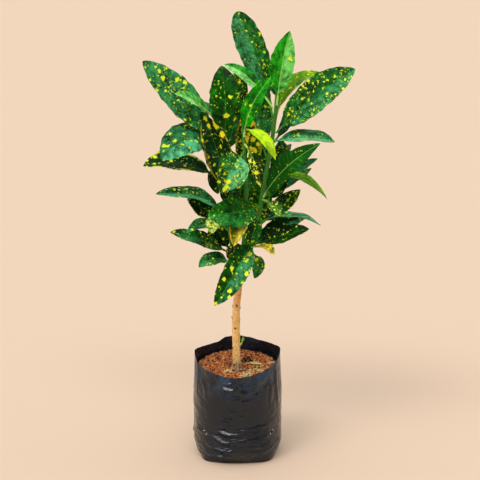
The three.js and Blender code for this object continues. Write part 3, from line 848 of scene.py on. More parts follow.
@dataclass
class Leaf:
    """One leaf with its stalk: a thin blade folded along the midrib, bowed, with waved edges."""

    name: str
    stem: StemName
    height: float
    tip: Triple
    bow: Triple
    face: Triple
    width: float
    stalk: float
    form_name: str
    turn: float = 0.0
    thickness: float = 0.7
    edge_thickness: float = 0.3
    stalk_half_width: float = 1.4
    stalk_half_thickness: float = 1.35
    tip_half_width: float = 0.5
    rib_depth: float = 0.8
    rib_half_width: float = 1.1
    row_step: float = 1.7
    column_step: float = 1.5
    ripple: float = 0.02
    swell: float = 0.25

    OPENING = 0.12
    WAVE_TURN = 3.2 * math.pi
    WAVE_LAG = 1.4
    # turns of the two ripples along an edge, in radians over the blade's length
    RIPPLES = (31, 53)
    STALK_ROWS = 6
    FEWEST_ROWS = 14
    FEWEST_COLUMNS = 9
    EDGE_CROWDING = 0.96
    # half the width of the change of colour at the midrib, in millimetres
    HALVES_MEET = 1.2
    # what the marks hold where no large spot is near
    NO_MARK = 9.0

    def foot(self) -> Array:
        """Finds where the stalk sits on its stem.

        Returns:
            The place in millimetres.
        """
        stem = STEMS[self.stem]
        share = stem.share_at(self.height)
        centre, along = stem.point(share), stem.direction(share)
        leaving = unit(np.array(self.tip, float) - centre + 4 * np.array(self.bow, float))
        outward = unit(leaving - along * (leaving @ along))
        slant = math.sqrt(max(0.0, 1 - float(leaving @ outward) ** 2))
        return centre + outward * (stem.radius(share) + SEAT_GAP + self.stalk_half_width * slant)

    def rows(self, length: float, stalk_share: float) -> Array:
        """Spaces the rows, crowded towards the tip.

        Args:
            length: Length of the blade.
            stalk_share: Share of the leaf that is stalk.

        Returns:
            Shares of the whole leaf.
        """
        count = max(self.FEWEST_ROWS, round(length / self.row_step))
        steps = np.sin(np.linspace(0, 1, count) * math.pi / 2) ** 1.15
        stalk = np.linspace(0, 0.9, self.STALK_ROWS) * stalk_share
        return np.concatenate([stalk, stalk_share + steps * (1 - stalk_share)])

    def columns(self) -> Array:
        """Spaces an odd number of columns, crowded towards the edges.

        Returns:
            Shares of the half width, from -1 to 1.
        """
        count = max(self.FEWEST_COLUMNS, round(self.width / self.column_step) | 1)
        across = np.sin(np.linspace(-1, 1, count) * math.pi / 2 * self.EDGE_CROWDING)
        return across / across[-1]

    def build(self, material: Material) -> Object:
        """Makes the leaf.

        Args:
            material: The skin that it wears.

        Returns:
            The leaf's object, with its looks stored at its points.
        """
        form = FORMS[self.form_name]
        foot, tip, bow = self.foot(), np.array(self.tip, float), np.array(self.bow, float)
        reach = float(np.linalg.norm(tip - foot))
        stalk_share = self.stalk / reach
        share, across = self.rows(reach - self.stalk, stalk_share)[:, None], self.columns()
        blade = np.clip((share - stalk_share) / (1 - stalk_share), 0, 1)
        opened = smoothstep(0, self.OPENING, blade)

        centre = foot + (tip - foot) * share + bow * 4 * share * (1 - share)
        tangent = unit(tip - foot + bow * 4 * (1 - 2 * share))
        side = unit(np.cross(self.face, tangent))
        out = unit(np.cross(tangent, side))
        wide = np.maximum(self.width / 2 * form.outline(blade), self.tip_half_width)
        half_width = lerp(self.stalk_half_width, wide, opened)
        # edges that are never quite even
        slow, fast = self.RIPPLES
        notch = np.sin(slow * blade + self.turn) + np.sin(fast * blade - across + self.turn)
        uneven = 1 + self.ripple * notch * across**2 * opened
        lag = self.turn + np.where(across < 0, self.WAVE_LAG, 0)
        swing = np.sin(self.WAVE_TURN * blade + lag)
        wave = form.wave * swing * np.sin(math.pi * blade) * across**2 * opened

        fold = math.radians(form.fold) * opened
        lift = np.abs(across) * half_width * np.sin(fold) + wave
        reached = across * half_width * np.cos(fold) * uneven
        middle = centre[:, None] + out[:, None] * lift[..., None] + side[:, None] * reached[..., None]
        round_stalk = self.stalk_half_thickness * np.sqrt(np.maximum(1 - 0.86 * across**2, 0))
        flat_blade = lerp(self.thickness, self.edge_thickness, across**2) / 2
        half = lerp(round_stalk, flat_blade, opened)
        near_rib = np.exp(-((across * half_width / self.rib_half_width) ** 2))
        rib = self.rib_depth * (1 - blade) * opened * near_rib
        # the blade swells a little between the midrib and each edge, as a leathery leaf does
        quilt = self.swell * opened * np.sin(math.pi * np.abs(across)) * np.sin(math.pi * blade)
        upper = middle + out[:, None] * (half + quilt)[..., None]
        lower = middle + out[:, None] * (quilt - half - rib)[..., None]
        ring = np.concatenate([lower, upper[:, ::-1]], axis=1)
        length = reach - self.stalk
        along_blade = (share - stalk_share) / (1 - stalk_share)
        layers = self.looks(along_blade, across, half_width, length)
        name, skin = self.name, SKINS[form.skin]
        faces = self.faces(*ring.shape[:2])
        return make_piece(
            f"{name}_blade", ring, faces, material, skin.slot, f"leaf_{name}", **layers
        )

    def faces(self, rows: int, count: int) -> Faces:
        """Lists the faces of the closed blade, with quads over both ends.

        Args:
            rows: Number of rings.
            count: Number of points in a ring.

        Returns:
            The corner numbers of each face.
        """
        faces = grid_faces(rows, count)
        for row in (0, rows - 1):
            low, high = row * count, row * count + count - 1
            cap = [(low + i, low + i + 1, high - 1 - i, high - i) for i in range(count // 2 - 1)]
            faces.extend(tuple(reversed(quad)) if row == 0 else quad for quad in cap)
        return faces

    def looks(
        self, blade: Array, across: Array, half_width: Array, length: float
    ) -> dict[str, tuple[Any, ...]]:
        """Works out where each point lies on the blade, and how the leaf is coloured there.

        Args:
            blade: Share of the blade's length at each row, below 0 on the stalk.
            across: Share of the half width at each column.
            half_width: Half width at each row.
            length: Length of the blade.

        Returns:
            The layers that the skin reads.
        """
        look = LOOKS.get(self.name, Look())
        both = np.concatenate([across, across[::-1]])[None]
        upper = np.repeat([[0.0, 1.0]], len(across), axis=1)
        along_mm = blade * length + 0 * both
        across_mm = both * half_width
        chance = random.Random(self.name)
        shift = (chance.uniform(0, 400), chance.uniform(0, 400))
        marks = np.full(along_mm.shape, self.NO_MARK)
        for at, off, half_long, half_wide in look.marks:
            row = int(np.argmin(np.abs(blade - at)))
            over = (along_mm - at * length) / half_long
            aside = (across_mm - off * half_width[row]) / half_wide
            marks = np.minimum(marks, (np.hypot(over, aside) - 1) * min(half_long, half_wide))
        # the halves differ in painted sheen, in tone with its painted shade, and in mottle, with a soft
        # change at the midrib
        side = smoothstep(-self.HALVES_MEET, self.HALVES_MEET, across_mm)
        painted_sheen, tone, mottle = (lerp(*pair, side) for pair in (look.painted_sheen, look.tone, look.mottle))
        tone = tone + chance.uniform(-0.05, 0.05)
        return {
            "blade_mm": (along_mm, across_mm, 0.0),
            "pattern_mm": (along_mm + shift[0], across_mm + shift[1], 0.0),
            "blade_share": (blade, both, upper),
            "look": (painted_sheen, look.splash, look.dust),
            "habit": (tone, look.ripe, look.margin),
            "gold": (mottle, marks, 0.0),
        }


# Leaves from the shoot tips down, and then those at the back: name, stem and height on it, tip,
# bow of the midrib off the straight line at its middle, the way the upper face looks, blade
# width, stalk length and form
LEAVES: tuple[tuple[Any, ...], ...] = (
    ("top", "right", 500, (-1, 8, 646), (4.5, 8, 1), (-0.25, -1, 0.15), 42, 24, "blunt"),
    ("upright", "right", 518, (72, -5, 621), (-2, -4, 0), (-0.2, -1, 0.1), 36, 14, "young"),
    ("olive_arch", "right", 492, (124, 25, 556), (-12, 0, 19), (0, -0.35, 0.94), 30, 14, "olive"),
    ("right_upper", "right", 478, (162, -20, 570), (-1, -4, 7), (-0.35, -0.85, 0.4), 51, 10, "broad"),
    ("right_behind", "right", 463, (103, 36, 540), (0, 2, -3), (-0.3, -0.8, 0.5), 22, 10, "mature"),
    ("right_level", "right", 466, (135, -25, 469), (0, -2, 6), (0, -0.3, 0.95), 40, 3, "mature"),
    ("right_front", "right", 386, (114, -45, 471), (-8, -6, 5), (-0.4, -0.9, 0.3), 31, 10, "young"),
    ("right_shade_high", "right", 400, (114, 25, 436), (0, 4, 0), (-0.2, -0.7, 0.7), 19, 14, "mature"),
    ("right_shade_low", "right", 385, (107, 50, 417), (0, 4, -1), (-0.2, -0.7, 0.7), 18, 14, "mature"),
    ("olive_droop", "right", 405, (126, -15, 386), (1, -4, 20), (0.2, -0.25, 0.95), 26, 14, "olive"),
    ("right_under_front", "right", 378, (72, -8, 413), (0, 0, -1), (-0.3, -0.8, 0.5), 20, 12, "mature"),
    ("right_spotted", "right", 344, (90, 20, 392), (0, 5, -2), (-0.3, -0.8, 0.5), 28, 10, "mature"),
    ("pale_hanging", "right", 382, (64, -40, 366), (0, -8, 6), (0.2, -0.9, 0.3), 17, 12, "mottled"),
    ("right_blade_thin", "right", 350, (118, -4, 345), (0, -7, 13), (0.1, -0.05, 1), 30, 12, "mature"),
    ("right_blade_back", "right", 314, (102, 30, 350), (-4, 4, 4), (0, -0.5, 0.86), 30, 4, "mature"),
    ("right_low", "right", 318, (101, -25, 345), (0, -4, 2), (-0.1, -0.55, 0.83), 34, 4, "mature"),
    ("curled_tip", "right", 314, (52, -46, 313), (2, -12, 7), (0.1, -0.5, 0.85), 18, 6, "dying"),
    ("low_right_small", "right", 305, (24, -8, 268), (7, -2, 4), (0.1, -0.9, 0.2), 19, 6, "mature"),
    ("front_low", "right", 328, (-32, -70, 246), (4, -22, 8), (0.35, -0.8, 0.5), 37, 12, "mature"),
    ("left_upper", "left", 462, (-131, -10, 580), (0, -2, 2), (0.45, -0.75, 0.45), 54, 22, "broad"),
    ("left_young", "left", 483, (-86, -40, 539), (2, 3, 9), (0.2, -0.6, 0.75), 22, 26, "young"),
    ("dark_upright", "left", 472, (-22, -14, 574), (4, -20, 0), (0.1, -1, 0.05), 46, 12, "broad"),
    ("pale_left", "right", 512, (-19, 4, 573), (0, -4, 12), (0.1, -0.75, 0.65), 20, 16, "young"),
    ("bright_middle", "middle", 476, (46, -35, 561), (-8, -8, 2), (-0.3, -0.9, 0.2), 27, 10, "young"),
    ("chartreuse", "middle", 486, (52, -60, 451), (3, -6, 11), (0.5, -0.8, 0.4), 20, 8, "chartreuse"),
    ("left_middle", "left", 440, (-104, -45, 447), (0, 3, 28), (0.05, -0.75, 0.65), 53, 24, "broad"),
    ("left_long", "left", 410, (-133, 0, 430), (-4, 6, 13), (0.1, -0.45, 0.9), 44, 14, "mature"),
    ("left_dark_front", "left", 392, (-48, -9, 506), (5, -7, 0), (0.2, -1, 0.1), 41, 12, "mature"),
    ("left_shade_low", "left", 430, (-28, 22, 385), (-6, 8, 6), (-0.2, -0.9, 0.3), 24, 12, "mature"),
    ("heart_front", "middle", 453, (-23, -76, 408), (1, -14, 10), (0.25, -0.1, 0.3), 48, 12, "mature"),
    ("left_level", "left", 362, (-115, -20, 394), (7, -2, 11), (0.05, -0.35, 0.93), 36, 10, "mature"),
    ("left_shade", "left", 345, (-72, 15, 379), (0, 6, 0), (0.3, -0.8, 0.5), 30, 12, "mature"),
    ("centre_front", "right", 372, (-41, -70, 376), (4, -20, 2), (0.1, -0.9, 0.4), 44, 12, "broad"),
    ("mottled_tip", "left", 352, (-36, -48, 343), (-6, -8, 10), (0, -0.85, 0.5), 22, 12, "mottled"),
    ("left_low_small", "left", 338, (-71, -40, 343), (0, -4, 12), (0, -0.55, 0.85), 22, 12, "mature"),
    ("left_low", "left", 303, (-95, -20, 339), (0, -2, 5), (0.2, -0.6, 0.75), 27, 10, "mature"),
    ("left_hook", "left", 286, (-55, -25, 289), (0, -3, 12), (-0.1, -0.6, 0.8), 26, 10, "mature"),
    ("yellow_folded", "middle", 345, (-5, -66, 330), (0, -14, 16), (0, -0.6, 0.8), 26, 12, "dying"),
    ("narrow_front", "right", 356, (14, -46, 318), (2, -14, 10), (0, -0.9, 0.4), 22, 10, "mature"),
    ("blue_back", "right", 440, (42, 26, 545), (-10, 12, 0), (-0.2, -0.95, 0.1), 40, 10, "mature"),
    ("teal_upright", "right", 405, (60, 10, 468), (8, 6, 0), (0.2, -0.95, 0), 26, 8, "mature"),
    ("mottled_hanging", "middle", 465, (33, -46, 409), (2, -12, 8), (-0.3, -0.9, 0.1), 18, 10, "mottled"),
    ("middle_blotched", "middle", 405, (10, -2, 508), (4, 6, 0), (0, -1, 0.1), 38, 8, "mature"),
    ("centre_shade", "left", 366, (2, -24, 434), (-4, -8, 0), (0, -1, 0.1), 32, 12, "mature"),
    ("low_shade", "left", 326, (5, -26, 290), (-2, -14, 6), (-0.1, -0.95, 0.3), 28, 12, "mature"),
    ("inner_back", "middle", 384, (38, 44, 480), (0, 8, 2), (0, -0.95, 0.3), 34, 10, "mature"),
    ("back_top", "right", 510, (68, 70, 580), (0, 6, 6), (0, 0.5, 0.85), 34, 14, "mature"),
    ("back_right", "right", 435, (72, 90, 430), (0, 4, 14), (0, 0.3, 0.95), 34, 14, "mature"),
    ("back_left_top", "left", 474, (-36, 95, 500), (-4, 8, 16), (0, 0.3, 0.95), 34, 14, "mature"),
    ("back_left", "left", 425, (-75, 85, 455), (6, 8, 14), (0, 0.3, 0.95), 36, 14, "mature"),
    ("back_left_middle", "left", 385, (-25, 115, 420), (0, 4, 14), (0, 0.3, 0.95), 34, 14, "mature"),
    ("back_middle", "left", 440, (1, 43, 566), (6, 13, 0), (0, -0.9, 0.45), 36, 8, "mature"),
    ("back_left_low", "left", 300, (-42, 16, 345), (0, 6, 4), (0, -0.9, 0.4), 34, 10, "mature"),
    ("back_right_low", "right", 322, (44, 34, 425), (0, 9, 0), (0, -0.95, 0.2), 34, 12, "mature"),
    ("back_low", "left", 330, (18, 50, 434), (4, 20, 0), (0, -0.95, 0.2), 38, 12, "mature"),
)
# A small green shoot low on the trunk
SPROUT = ("sprout", StemName.TRUNK, 168, (8, -3, 181), (1, 0, -1), (0.6, -0.8, 0), 5, 4, "young")


@dataclass
class Foliage:
    """All the leaves, from the shoot tips down to the lowest, then those at the back."""

    rows: tuple[tuple[Any, ...], ...] = LEAVES
    turn_step: float = 2.4

    def build(self) -> list[Object]:
        """Makes every leaf.

        Returns:
            The leaves, and the sprout last.
        """
        skins = {name: skin.make() for name, skin in SKINS.items()}
        pieces = []
        for index, (name, stem, *sizes) in enumerate(self.rows):
            leaf = Leaf(name, StemName(stem), *sizes, turn=index * self.turn_step)
            pieces.append(leaf.build(skins[FORMS[leaf.form_name].skin]))
        sprout = Leaf(*SPROUT, row_step=0.7, column_step=0.6)
        pieces.append(sprout.build(skins["sprout"]))
        return pieces


@dataclass(frozen=True)
class BarkFinish:
    """Smooth tan croton bark that turns green where the leaders are young.

    The eye gets a dry matte trunk, streaked along its length and crossed by fine cracks, with dark
    scars of fallen leaves, a brown flaking collar at the root, an orange stretch under the fork
    and green leaders.
    """

    collar: str = "#8a6446"
    tan: str = "#ecb35c"
    pale: str = "#fbdc9e"
    orange: str = "#e09446"
    turning: str = "#8a8434"
    green: str = "#38841c"
    crack: str = "#7a5636"
    scar: str = "#33241a"
    collar_top: float = 148.0
    orange_from: float = 230.0
    green_from: float = 262.0
    green_full: float = 286.0

    LOWEST = 110.0
    HIGHEST = 320.0
    DRIFT_REACH = 16.0
    # how wide the parts of each pattern are, in millimetres, before it is stretched
    DRIFT = 6.25
    STREAK = 1.1111
    RING = 2.0
    ALONG_STEM = (1.0, 1.0, 0.16)
    ROUND_STEM = (0.25, 0.25, 1.6)

    def make(self) -> Material:
        """Makes the material.

        Returns:
            The material.
        """
        material, add = start_material("croton_bark")
        bark = add(Step.LAYER, attribute_name="bark_mm").outputs["Vector"]
        height = add(Step.SPLIT, bark).outputs["Z"]
        lengthwise = add(Step.STRETCH, bark, self.ALONG_STEM)
        streaks = add(Step.NOISE, lengthwise, 1 / self.STREAK, 4.0)
        rings = add(Step.NOISE, add(Step.STRETCH, bark, self.ROUND_STEM), 1 / self.RING, 3.0)
        drift = add(Step.NOISE, bark, 1 / self.DRIFT, 3.0)
        moved = add(Step.TIMES_PLUS, drift, self.DRIFT_REACH, height)
        span = self.HIGHEST - self.LOWEST
        base = add(Step.RAMP, add(Step.OVER, add(Step.MINUS, moved, self.LOWEST), span))
        # each stop allows for the middle of the drift that moves it
        middle = self.DRIFT_REACH / 2 - self.LOWEST
        heights = (
            (self.collar_top - 8, self.collar), (self.collar_top + 7, self.tan),
            (self.orange_from - 14, self.tan), (self.orange_from + 8, self.orange),
            (self.green_from - 6, self.orange), (self.green_from + 8, self.turning),
            (self.green_full, self.green),
        )
        set_stops(base.color_ramp, *(((top + middle) / span, colour) for top, colour in heights))
        woody = add(Step.EASE, height, self.green_full, self.green_from)
        pale = add(Step.TIMES, add(Step.EASE, streaks, 0.45, 0.68, 0.0, 0.8), woody)
        lighter = add(Step.BLEND, pale, base, self.pale)
        cracked = add(Step.TIMES, add(Step.EASE, rings, 0.44, 0.34, 0.0, 0.6), woody)
        crossed = add(Step.BLEND, cracked, lighter, self.crack)
        dark = add(Step.EASE, streaks, 0.45, 0.28, 0.0, 0.6)
        streaked = add(Step.BLEND, dark, crossed, self.collar)
        scar = add(Step.LAYER, attribute_name="scar").outputs["Fac"]
        surface = add(
            Step.SURFACE,
            Base_Color=add(Step.BLEND, scar, streaked, self.scar),
            Roughness=0.66,
            IOR=1.45,
            Normal=add(
                Step.BUMP, Height=add(Step.PLUS, streaks, rings), Strength=0.9, Distance=0.6 * MM
            ),
        )
        add(Step.MATERIAL_END, surface)
        return material


@dataclass
class TrunkWithLeaders:
    """The woody trunk, its leaf scars, and the three leaders with their end buds."""

    sides: int = 36
    row_step: float = 1.0
    flare: float = 1.6
    flare_height: float = 130.0
    flare_reach: float = 12.0
    # scars of fallen leaves: height, and degrees from +X
    knots: tuple[Pair, ...] = (
        (137, -50), (141, -125), (152, 60), (166, 215), (181, 100), (195, -100),
        (203, 20), (208, 0), (210, 180), (216, 85), (224, 0), (226, 180), (228, -90), (236, 135),
    )
    knot_radius: float = 1.7
    knot_rise: float = 1.0
    # past the shoot tip: distance and share of the radius
    bud_rows: tuple[Pair, ...] = ((3.6, 0.95), (7, 0.7), (9, 0.25))
    # how rough the leaders, the trunk and its flaking foot are
    leader_roughness: float = 0.12
    bark_roughness: float = 0.35
    flaking: float = 1.5
    flaking_fades: Pair = (134, 152)

    def knotted(self, height: float, radius: float, turns: Array) -> tuple[Array, Array]:
        """Raises the leaf scars on one ring of bark.

        Args:
            height: The ring's height.
            radius: Its radius.
            turns: The angle of each of its points.

        Returns:
            How far each point is lifted, and how scarred it is.
        """
        lift, scar = np.zeros(self.sides), np.zeros(self.sides)
        for knot_height, degrees in self.knots:
            gap = (turns - math.radians(degrees) + math.pi) % FULL_TURN - math.pi
            off = np.hypot(gap * radius, height - knot_height) / self.knot_radius
            lift += self.knot_rise * np.exp(-(off**4))
            scar = np.maximum(scar, smoothstep(1.25, 0.6, off))
        return lift, scar

    def ring(self, centre: Array, along: Array, radii: Array) -> Array:
        """Lays one ring of points round a stem.

        Args:
            centre: Its middle.
            along: The way the stem runs there.
            radii: The distance of each point from the middle.

        Returns:
            The points.
        """
        turns = circle(self.sides)[:, None]
        side = unit(np.cross((0.0, 1.0, 0.0), along))
        ahead = unit(np.cross(along, side))
        return centre + (np.cos(turns) * side + np.sin(turns) * ahead) * radii[:, None]

    def tube(self, name: StemName) -> tuple[Array, Array]:
        """Shapes one stem.

        Args:
            name: Which stem.

        Returns:
            Its rings of points and how scarred each point is.
        """
        stem = STEMS[name]
        length = float(np.sum(np.linalg.norm(np.diff(np.array(stem.line, float), axis=0), axis=1)))
        turns, plain = circle(self.sides), np.zeros(self.sides)
        rings, scars = [], []
        for share in np.linspace(0, 1, round(length / self.row_step)):
            centre = stem.point(share)
            height, radius = float(centre[2]), stem.radius(share)
            lift, scar, rough = plain, plain, self.leader_roughness
            if name is StemName.TRUNK:
                far = (height - self.flare_height) / self.flare_reach
                radius += self.flare * math.exp(-(far**2))
                lift, scar = self.knotted(height, radius, turns)
                faded = smoothstep(*self.flaking_fades, height)
                rough = float(lerp(self.flaking, self.bark_roughness, faded))
            x, y = np.cos(turns) * 2.2, np.sin(turns) * 2.2
            swirl = unevenness(x, y, height * 0.2, 1.0) + 0.6 * unevenness(x, y, height * 0.6, 1.7)
            rings.append(self.ring(centre, stem.direction(share), radius + lift + rough * swirl))
            scars.append(scar)
        if name is not StemName.TRUNK:
            end, along = stem.point(1.0), stem.direction(1.0)
            for distance, share in self.bud_rows:
                rings.append(self.ring(end + along * distance, along, plain + stem.radii[1] * share))
                scars.append(plain)
        return np.array(rings), np.array(scars)

    def build(self) -> Object:
        """Makes the trunk with its leaders as one piece.

        Returns:
            The object.
        """
        points, scars = [], []
        faces: Faces = []
        for name in StemName:
            rings, scar = self.tube(name)
            faces += grid_faces(len(rings), self.sides, sum(map(len, points)), capped=True)
            points.append(rings.reshape(-1, 3))
            scars.append(scar.ravel())
        gathered = np.concatenate(points)
        return make_piece(
            "trunk_and_leaders", gathered, faces, BarkFinish().make(), "bark", "trunk",
            bark_mm=gathered.T, scar=(np.concatenate(scars),),
        )


@dataclass(frozen=True)
class FilmFinish:
    """Thin black polythene film, dusty from use, with a painted sheen in places.

    The eye gets a satin black with sharp white glints on its folds: a low roughness of about 0.15
    on an index of 1.5, a painted blue sheen in patches near the rim, a grey on the left and right
    sides that is partly dust, heavier low down, and partly a painted sheen, and pale stretched lips
    round the torn holes. Fine wrinkles sag across the lower half, and short pulls run down from the
    rim.
    """

    film: str = "#0b151e"
    # colour of the painted sheen near the rim: a painted reflection of the sky
    painted_blue_sheen: str = "#24384c"
    # grey of dust, and of a painted sheen on the left and right sides
    dust_and_side_sheen: str = "#333436"
    lip: str = "#c4beb4"
    roughness: float = 0.15

    # how wide the parts of each pattern are, in millimetres, before it is stretched
    PATCH = 20.0
    GRAIN = 1.25
    CREASE = 10.0
    SLACK = 14.286
    # sagging wrinkles run round the bag, and pulls run down it
    WRINKLES = ((0.3, 0.3, 1.9), (1.5, 1.5, 0.3))
    SLACKENING = (0.7, 0.7, 1.2)

    def crease_lines(self, add: Adder, place: Link, stretch: Triple) -> Node:
        """Draws narrow crests that run along the long way of a stretched pattern."""
        uneven = add(Step.NOISE, add(Step.STRETCH, place, stretch), 1 / self.CREASE, 2.0)
        return add(Step.EASE, add(Step.SIZE, add(Step.MINUS, uneven, 0.5)), 0.09, 0.0)

    def make(self) -> Material:
        """Makes the material.

        Returns:
            The material.
        """
        material, add = start_material("black_polythene_film")
        names = ("film_mm", "wear_and_sheen", "creased")
        place, *layers = (add(Step.LAYER, attribute_name=name).outputs["Vector"] for name in names)
        wear_and_sheen, creased = (add(Step.SPLIT, layer).outputs[:] for layer in layers)
        painted_blue_sheen, dust_and_side_sheen, stretched = wear_and_sheen
        drift = add(Step.NOISE, place, 1 / self.PATCH, 4.0)
        # painted blue sheen in patches near the rim
        patches = add(Step.TIMES, painted_blue_sheen, add(Step.EASE, drift, 0.42, 0.64))
        clean = add(Step.BLEND, patches, self.film, self.painted_blue_sheen)
        # grey: dust, heavier low down, and a painted sheen on the sides
        dust = add(Step.TIMES, dust_and_side_sheen, add(Step.EASE, drift, 0.42, 0.72))
        dusted_and_sheened = add(Step.BLEND, dust, clean, self.dust_and_side_sheen)
        relief = add(Step.TIMES, add(Step.NOISE, place, 1 / self.GRAIN, 3.0), 0.015)
        for share, stretch in zip(creased, self.WRINKLES):
            relief = add(Step.TIMES_PLUS, self.crease_lines(add, place, stretch), share, relief)
        slack = add(Step.NOISE, add(Step.STRETCH, place, self.SLACKENING), 1 / self.SLACK, 2.0)
        relief = add(Step.TIMES_PLUS, slack, 2.2, relief)
        rough = (self.roughness - 0.07, self.roughness + 0.12)
        surface = add(
            Step.SURFACE,
            Base_Color=add(Step.BLEND, stretched, dusted_and_sheened, self.lip),
            Roughness=add(Step.EASE, drift, 0.3, 0.7, *rough),
            IOR=1.5,
            Specular_IOR_Level=0.42,
            Normal=add(Step.BUMP, Height=relief, Strength=0.8, Distance=1.6 * MM),
        )
        add(Step.MATERIAL_END, surface)
        return material


@dataclass(frozen=True)
class Crease:
    """One fold of the film: its path in degrees from the front, to the right, and height."""

    path: tuple[Pair, ...]
    rise: float
    width: float


@dataclass
class NurseryBag:
    """A film tube filled round, with a folded flat bottom, an uneven rim and drain holes."""

    flat_width: float = 203.0
    base_half_width: float = 53.0
    base_half_depth: float = 45.0
    base_squareness: float = 4.2
    bulge_height: float = 27.0
    rim_start: float = 100.0
    rim_end: float = 155.0
    rim_radius: float = 62.4
    # rim height at every 15 degrees from +X, anticlockwise
    rim_heights: tuple[float, ...] = (
        160, 158, 156, 155.5, 155.5, 158, 160, 158.5, 152, 151, 152, 154.5,
        157, 151, 144.5, 141.5, 139, 137, 136, 138, 141, 145, 149, 155,
    )
    film_thickness: float = 0.4
    hole_height: float = 47.0
    hole_radius: float = 2.5
    hole_angles: tuple[float, ...] = (-136, -41, 41, 136)
    columns: int = 400
    wall_rows: int = 100
    rim_rows: int = 44
    inner_rows: int = 14
    creases: tuple[Crease, ...] = (
        # sagging folds, from the crisp ones between the drain holes down to the base
        Crease(((-32, 55.5), (-22, 52), (-12, 50), (-3, 50.5), (5, 54.5)), 2.7, 2.9),
        Crease(((-43, 49), (-32, 44.5), (-20, 37.5), (-6, 33.5)), 2.2, 2.3),
        Crease(((-42, 31), (-30, 27), (-18, 24), (-4, 23)), 2.4, 2.4),
        Crease(((-44, 15), (-34, 14), (-22, 14), (-10, 15)), 3.0, 2.2),
        Crease(((-31, 61), (-22, 60), (-13, 60.5)), 1.7, 2.2),
        Crease(((-23, 74.5), (-14, 71.5), (-5, 72)), 1.6, 2.2),
        Crease(((-18, 84.5), (-10, 83.5), (1, 84.5)), 0.8, 2.2),
        Crease(((-70, 48.5), (-60, 47.5), (-50, 46.5)), 1.4, 2.2),
        Crease(((0, 50.5), (11, 49.5), (21, 50.5), (31, 52)), 2.0, 2.5),
        Crease(((5, 56.5), (16, 57.5), (30, 59.5), (43, 58.5)), 1.5, 2.4),
        Crease(((18, 41), (34, 42), (50, 44)), 1.2, 2.4),
        Crease(((14, 29), (30, 30), (40, 30.5), (53, 31.5)), 1.5, 2.2),
        Crease(((50, 27), (61, 28), (72, 30.5)), 1.5, 2.2),
        Crease(((20, 18), (38, 19), (56, 23)), 1.4, 2.2),
        # a crumple and broad dents under the rim, and folds that run down the sides from it
        Crease(((-28, 125), (-18, 119), (-9, 116), (-2, 118)), 2.4, 3.0),
        Crease(((-24, 130), (-14, 126), (-5, 127)), 2.0, 2.4),
        Crease(((0, 117), (8, 112), (17, 113)), 1.7, 3.0),
        Crease(((-31, 139), (-26, 132), (-21, 124)), 1.4, 3.0),
        Crease(((24, 122), (34, 130), (43, 137)), 1.6, 3.6),
        Crease(((-56, 127), (-48, 116), (-45, 101)), 1.2, 2.6),
        Crease(((-70, 150), (-63, 133), (-66, 96)), 1.2, 3.0),
        Crease(((44, 140), (50, 118), (48, 92)), 1.1, 2.8),
        Crease(((62, 146), (60, 120), (66, 84)), 1.1, 3.0),
    )
    loose_creases: int = 40
    seed: int = 8
    # how far the folds may sink and rise, and the broad slackness of the film over them
    fold_limits: Pair = (-1.4, 3.0)
    slackness: float = 0.8
    # shares of the base's reach at each ring of the flat floor
    floor_rings: tuple[float, ...] = (0.02, 0.2, 0.45, 0.7, 0.88, 0.96)

    def radius(self) -> float:
        """Finds the radius of the filled tube."""
        return self.flat_width / math.pi

    def rim_height(self, angle: Array) -> Array:
        """Finds the rim's height.

        Args:
            angle: Angles from +X.

        Returns:
            The height at each angle.
        """
        heights = np.array(self.rim_heights)
        steps = len(heights)
        place = (angle / FULL_TURN * steps) % steps
        before = np.floor(place).astype(int) % steps
        share = smoothstep(0, 1, place - np.floor(place))
        return lerp(heights[before], heights[(before + 1) % steps], share)

    def wall_radius(self, height: Array, angle: Array) -> Array:
        """Finds the smooth outer radius of the wall.

        Args:
            height: Heights over the floor.
            angle: Angles from +X.

        Returns:
            The radius at each place.
        """
        across = np.abs(np.cos(angle) / self.base_half_width) ** self.base_squareness
        deep = np.abs(np.sin(angle) / self.base_half_depth) ** self.base_squareness
        base = (across + deep) ** (-1 / self.base_squareness)
        swell = np.sin(math.pi / 2 * np.minimum(1, height / self.bulge_height))
        drawn_in = smoothstep(self.rim_start, self.rim_end, height)
        return lerp(base, lerp(self.radius(), self.rim_radius, drawn_in), swell)

    def every_crease(self) -> list[Crease]:
        """Adds loose sagging folds round the sides and the back to those in front.

        Returns:
            All the creases.
        """
        chance = random.Random(self.seed)
        creases = list(self.creases)
        for _ in range(self.loose_creases):
            middle = chance.uniform(62, 298)
            height = chance.choice((chance.uniform(8, 62), chance.uniform(8, 118)))
            reach, sag, tilt = chance.uniform(9, 20), chance.uniform(1, 5), chance.uniform(-5, 5)
            path = tuple(
                (middle + reach * t, height - sag * (1 - t * t) + tilt * t)
                for t in (-1, -0.5, 0, 0.5, 1)
            )
            creases.append(Crease(path, chance.uniform(0.5, 1.2), chance.uniform(1.8, 2.8)))
        return creases

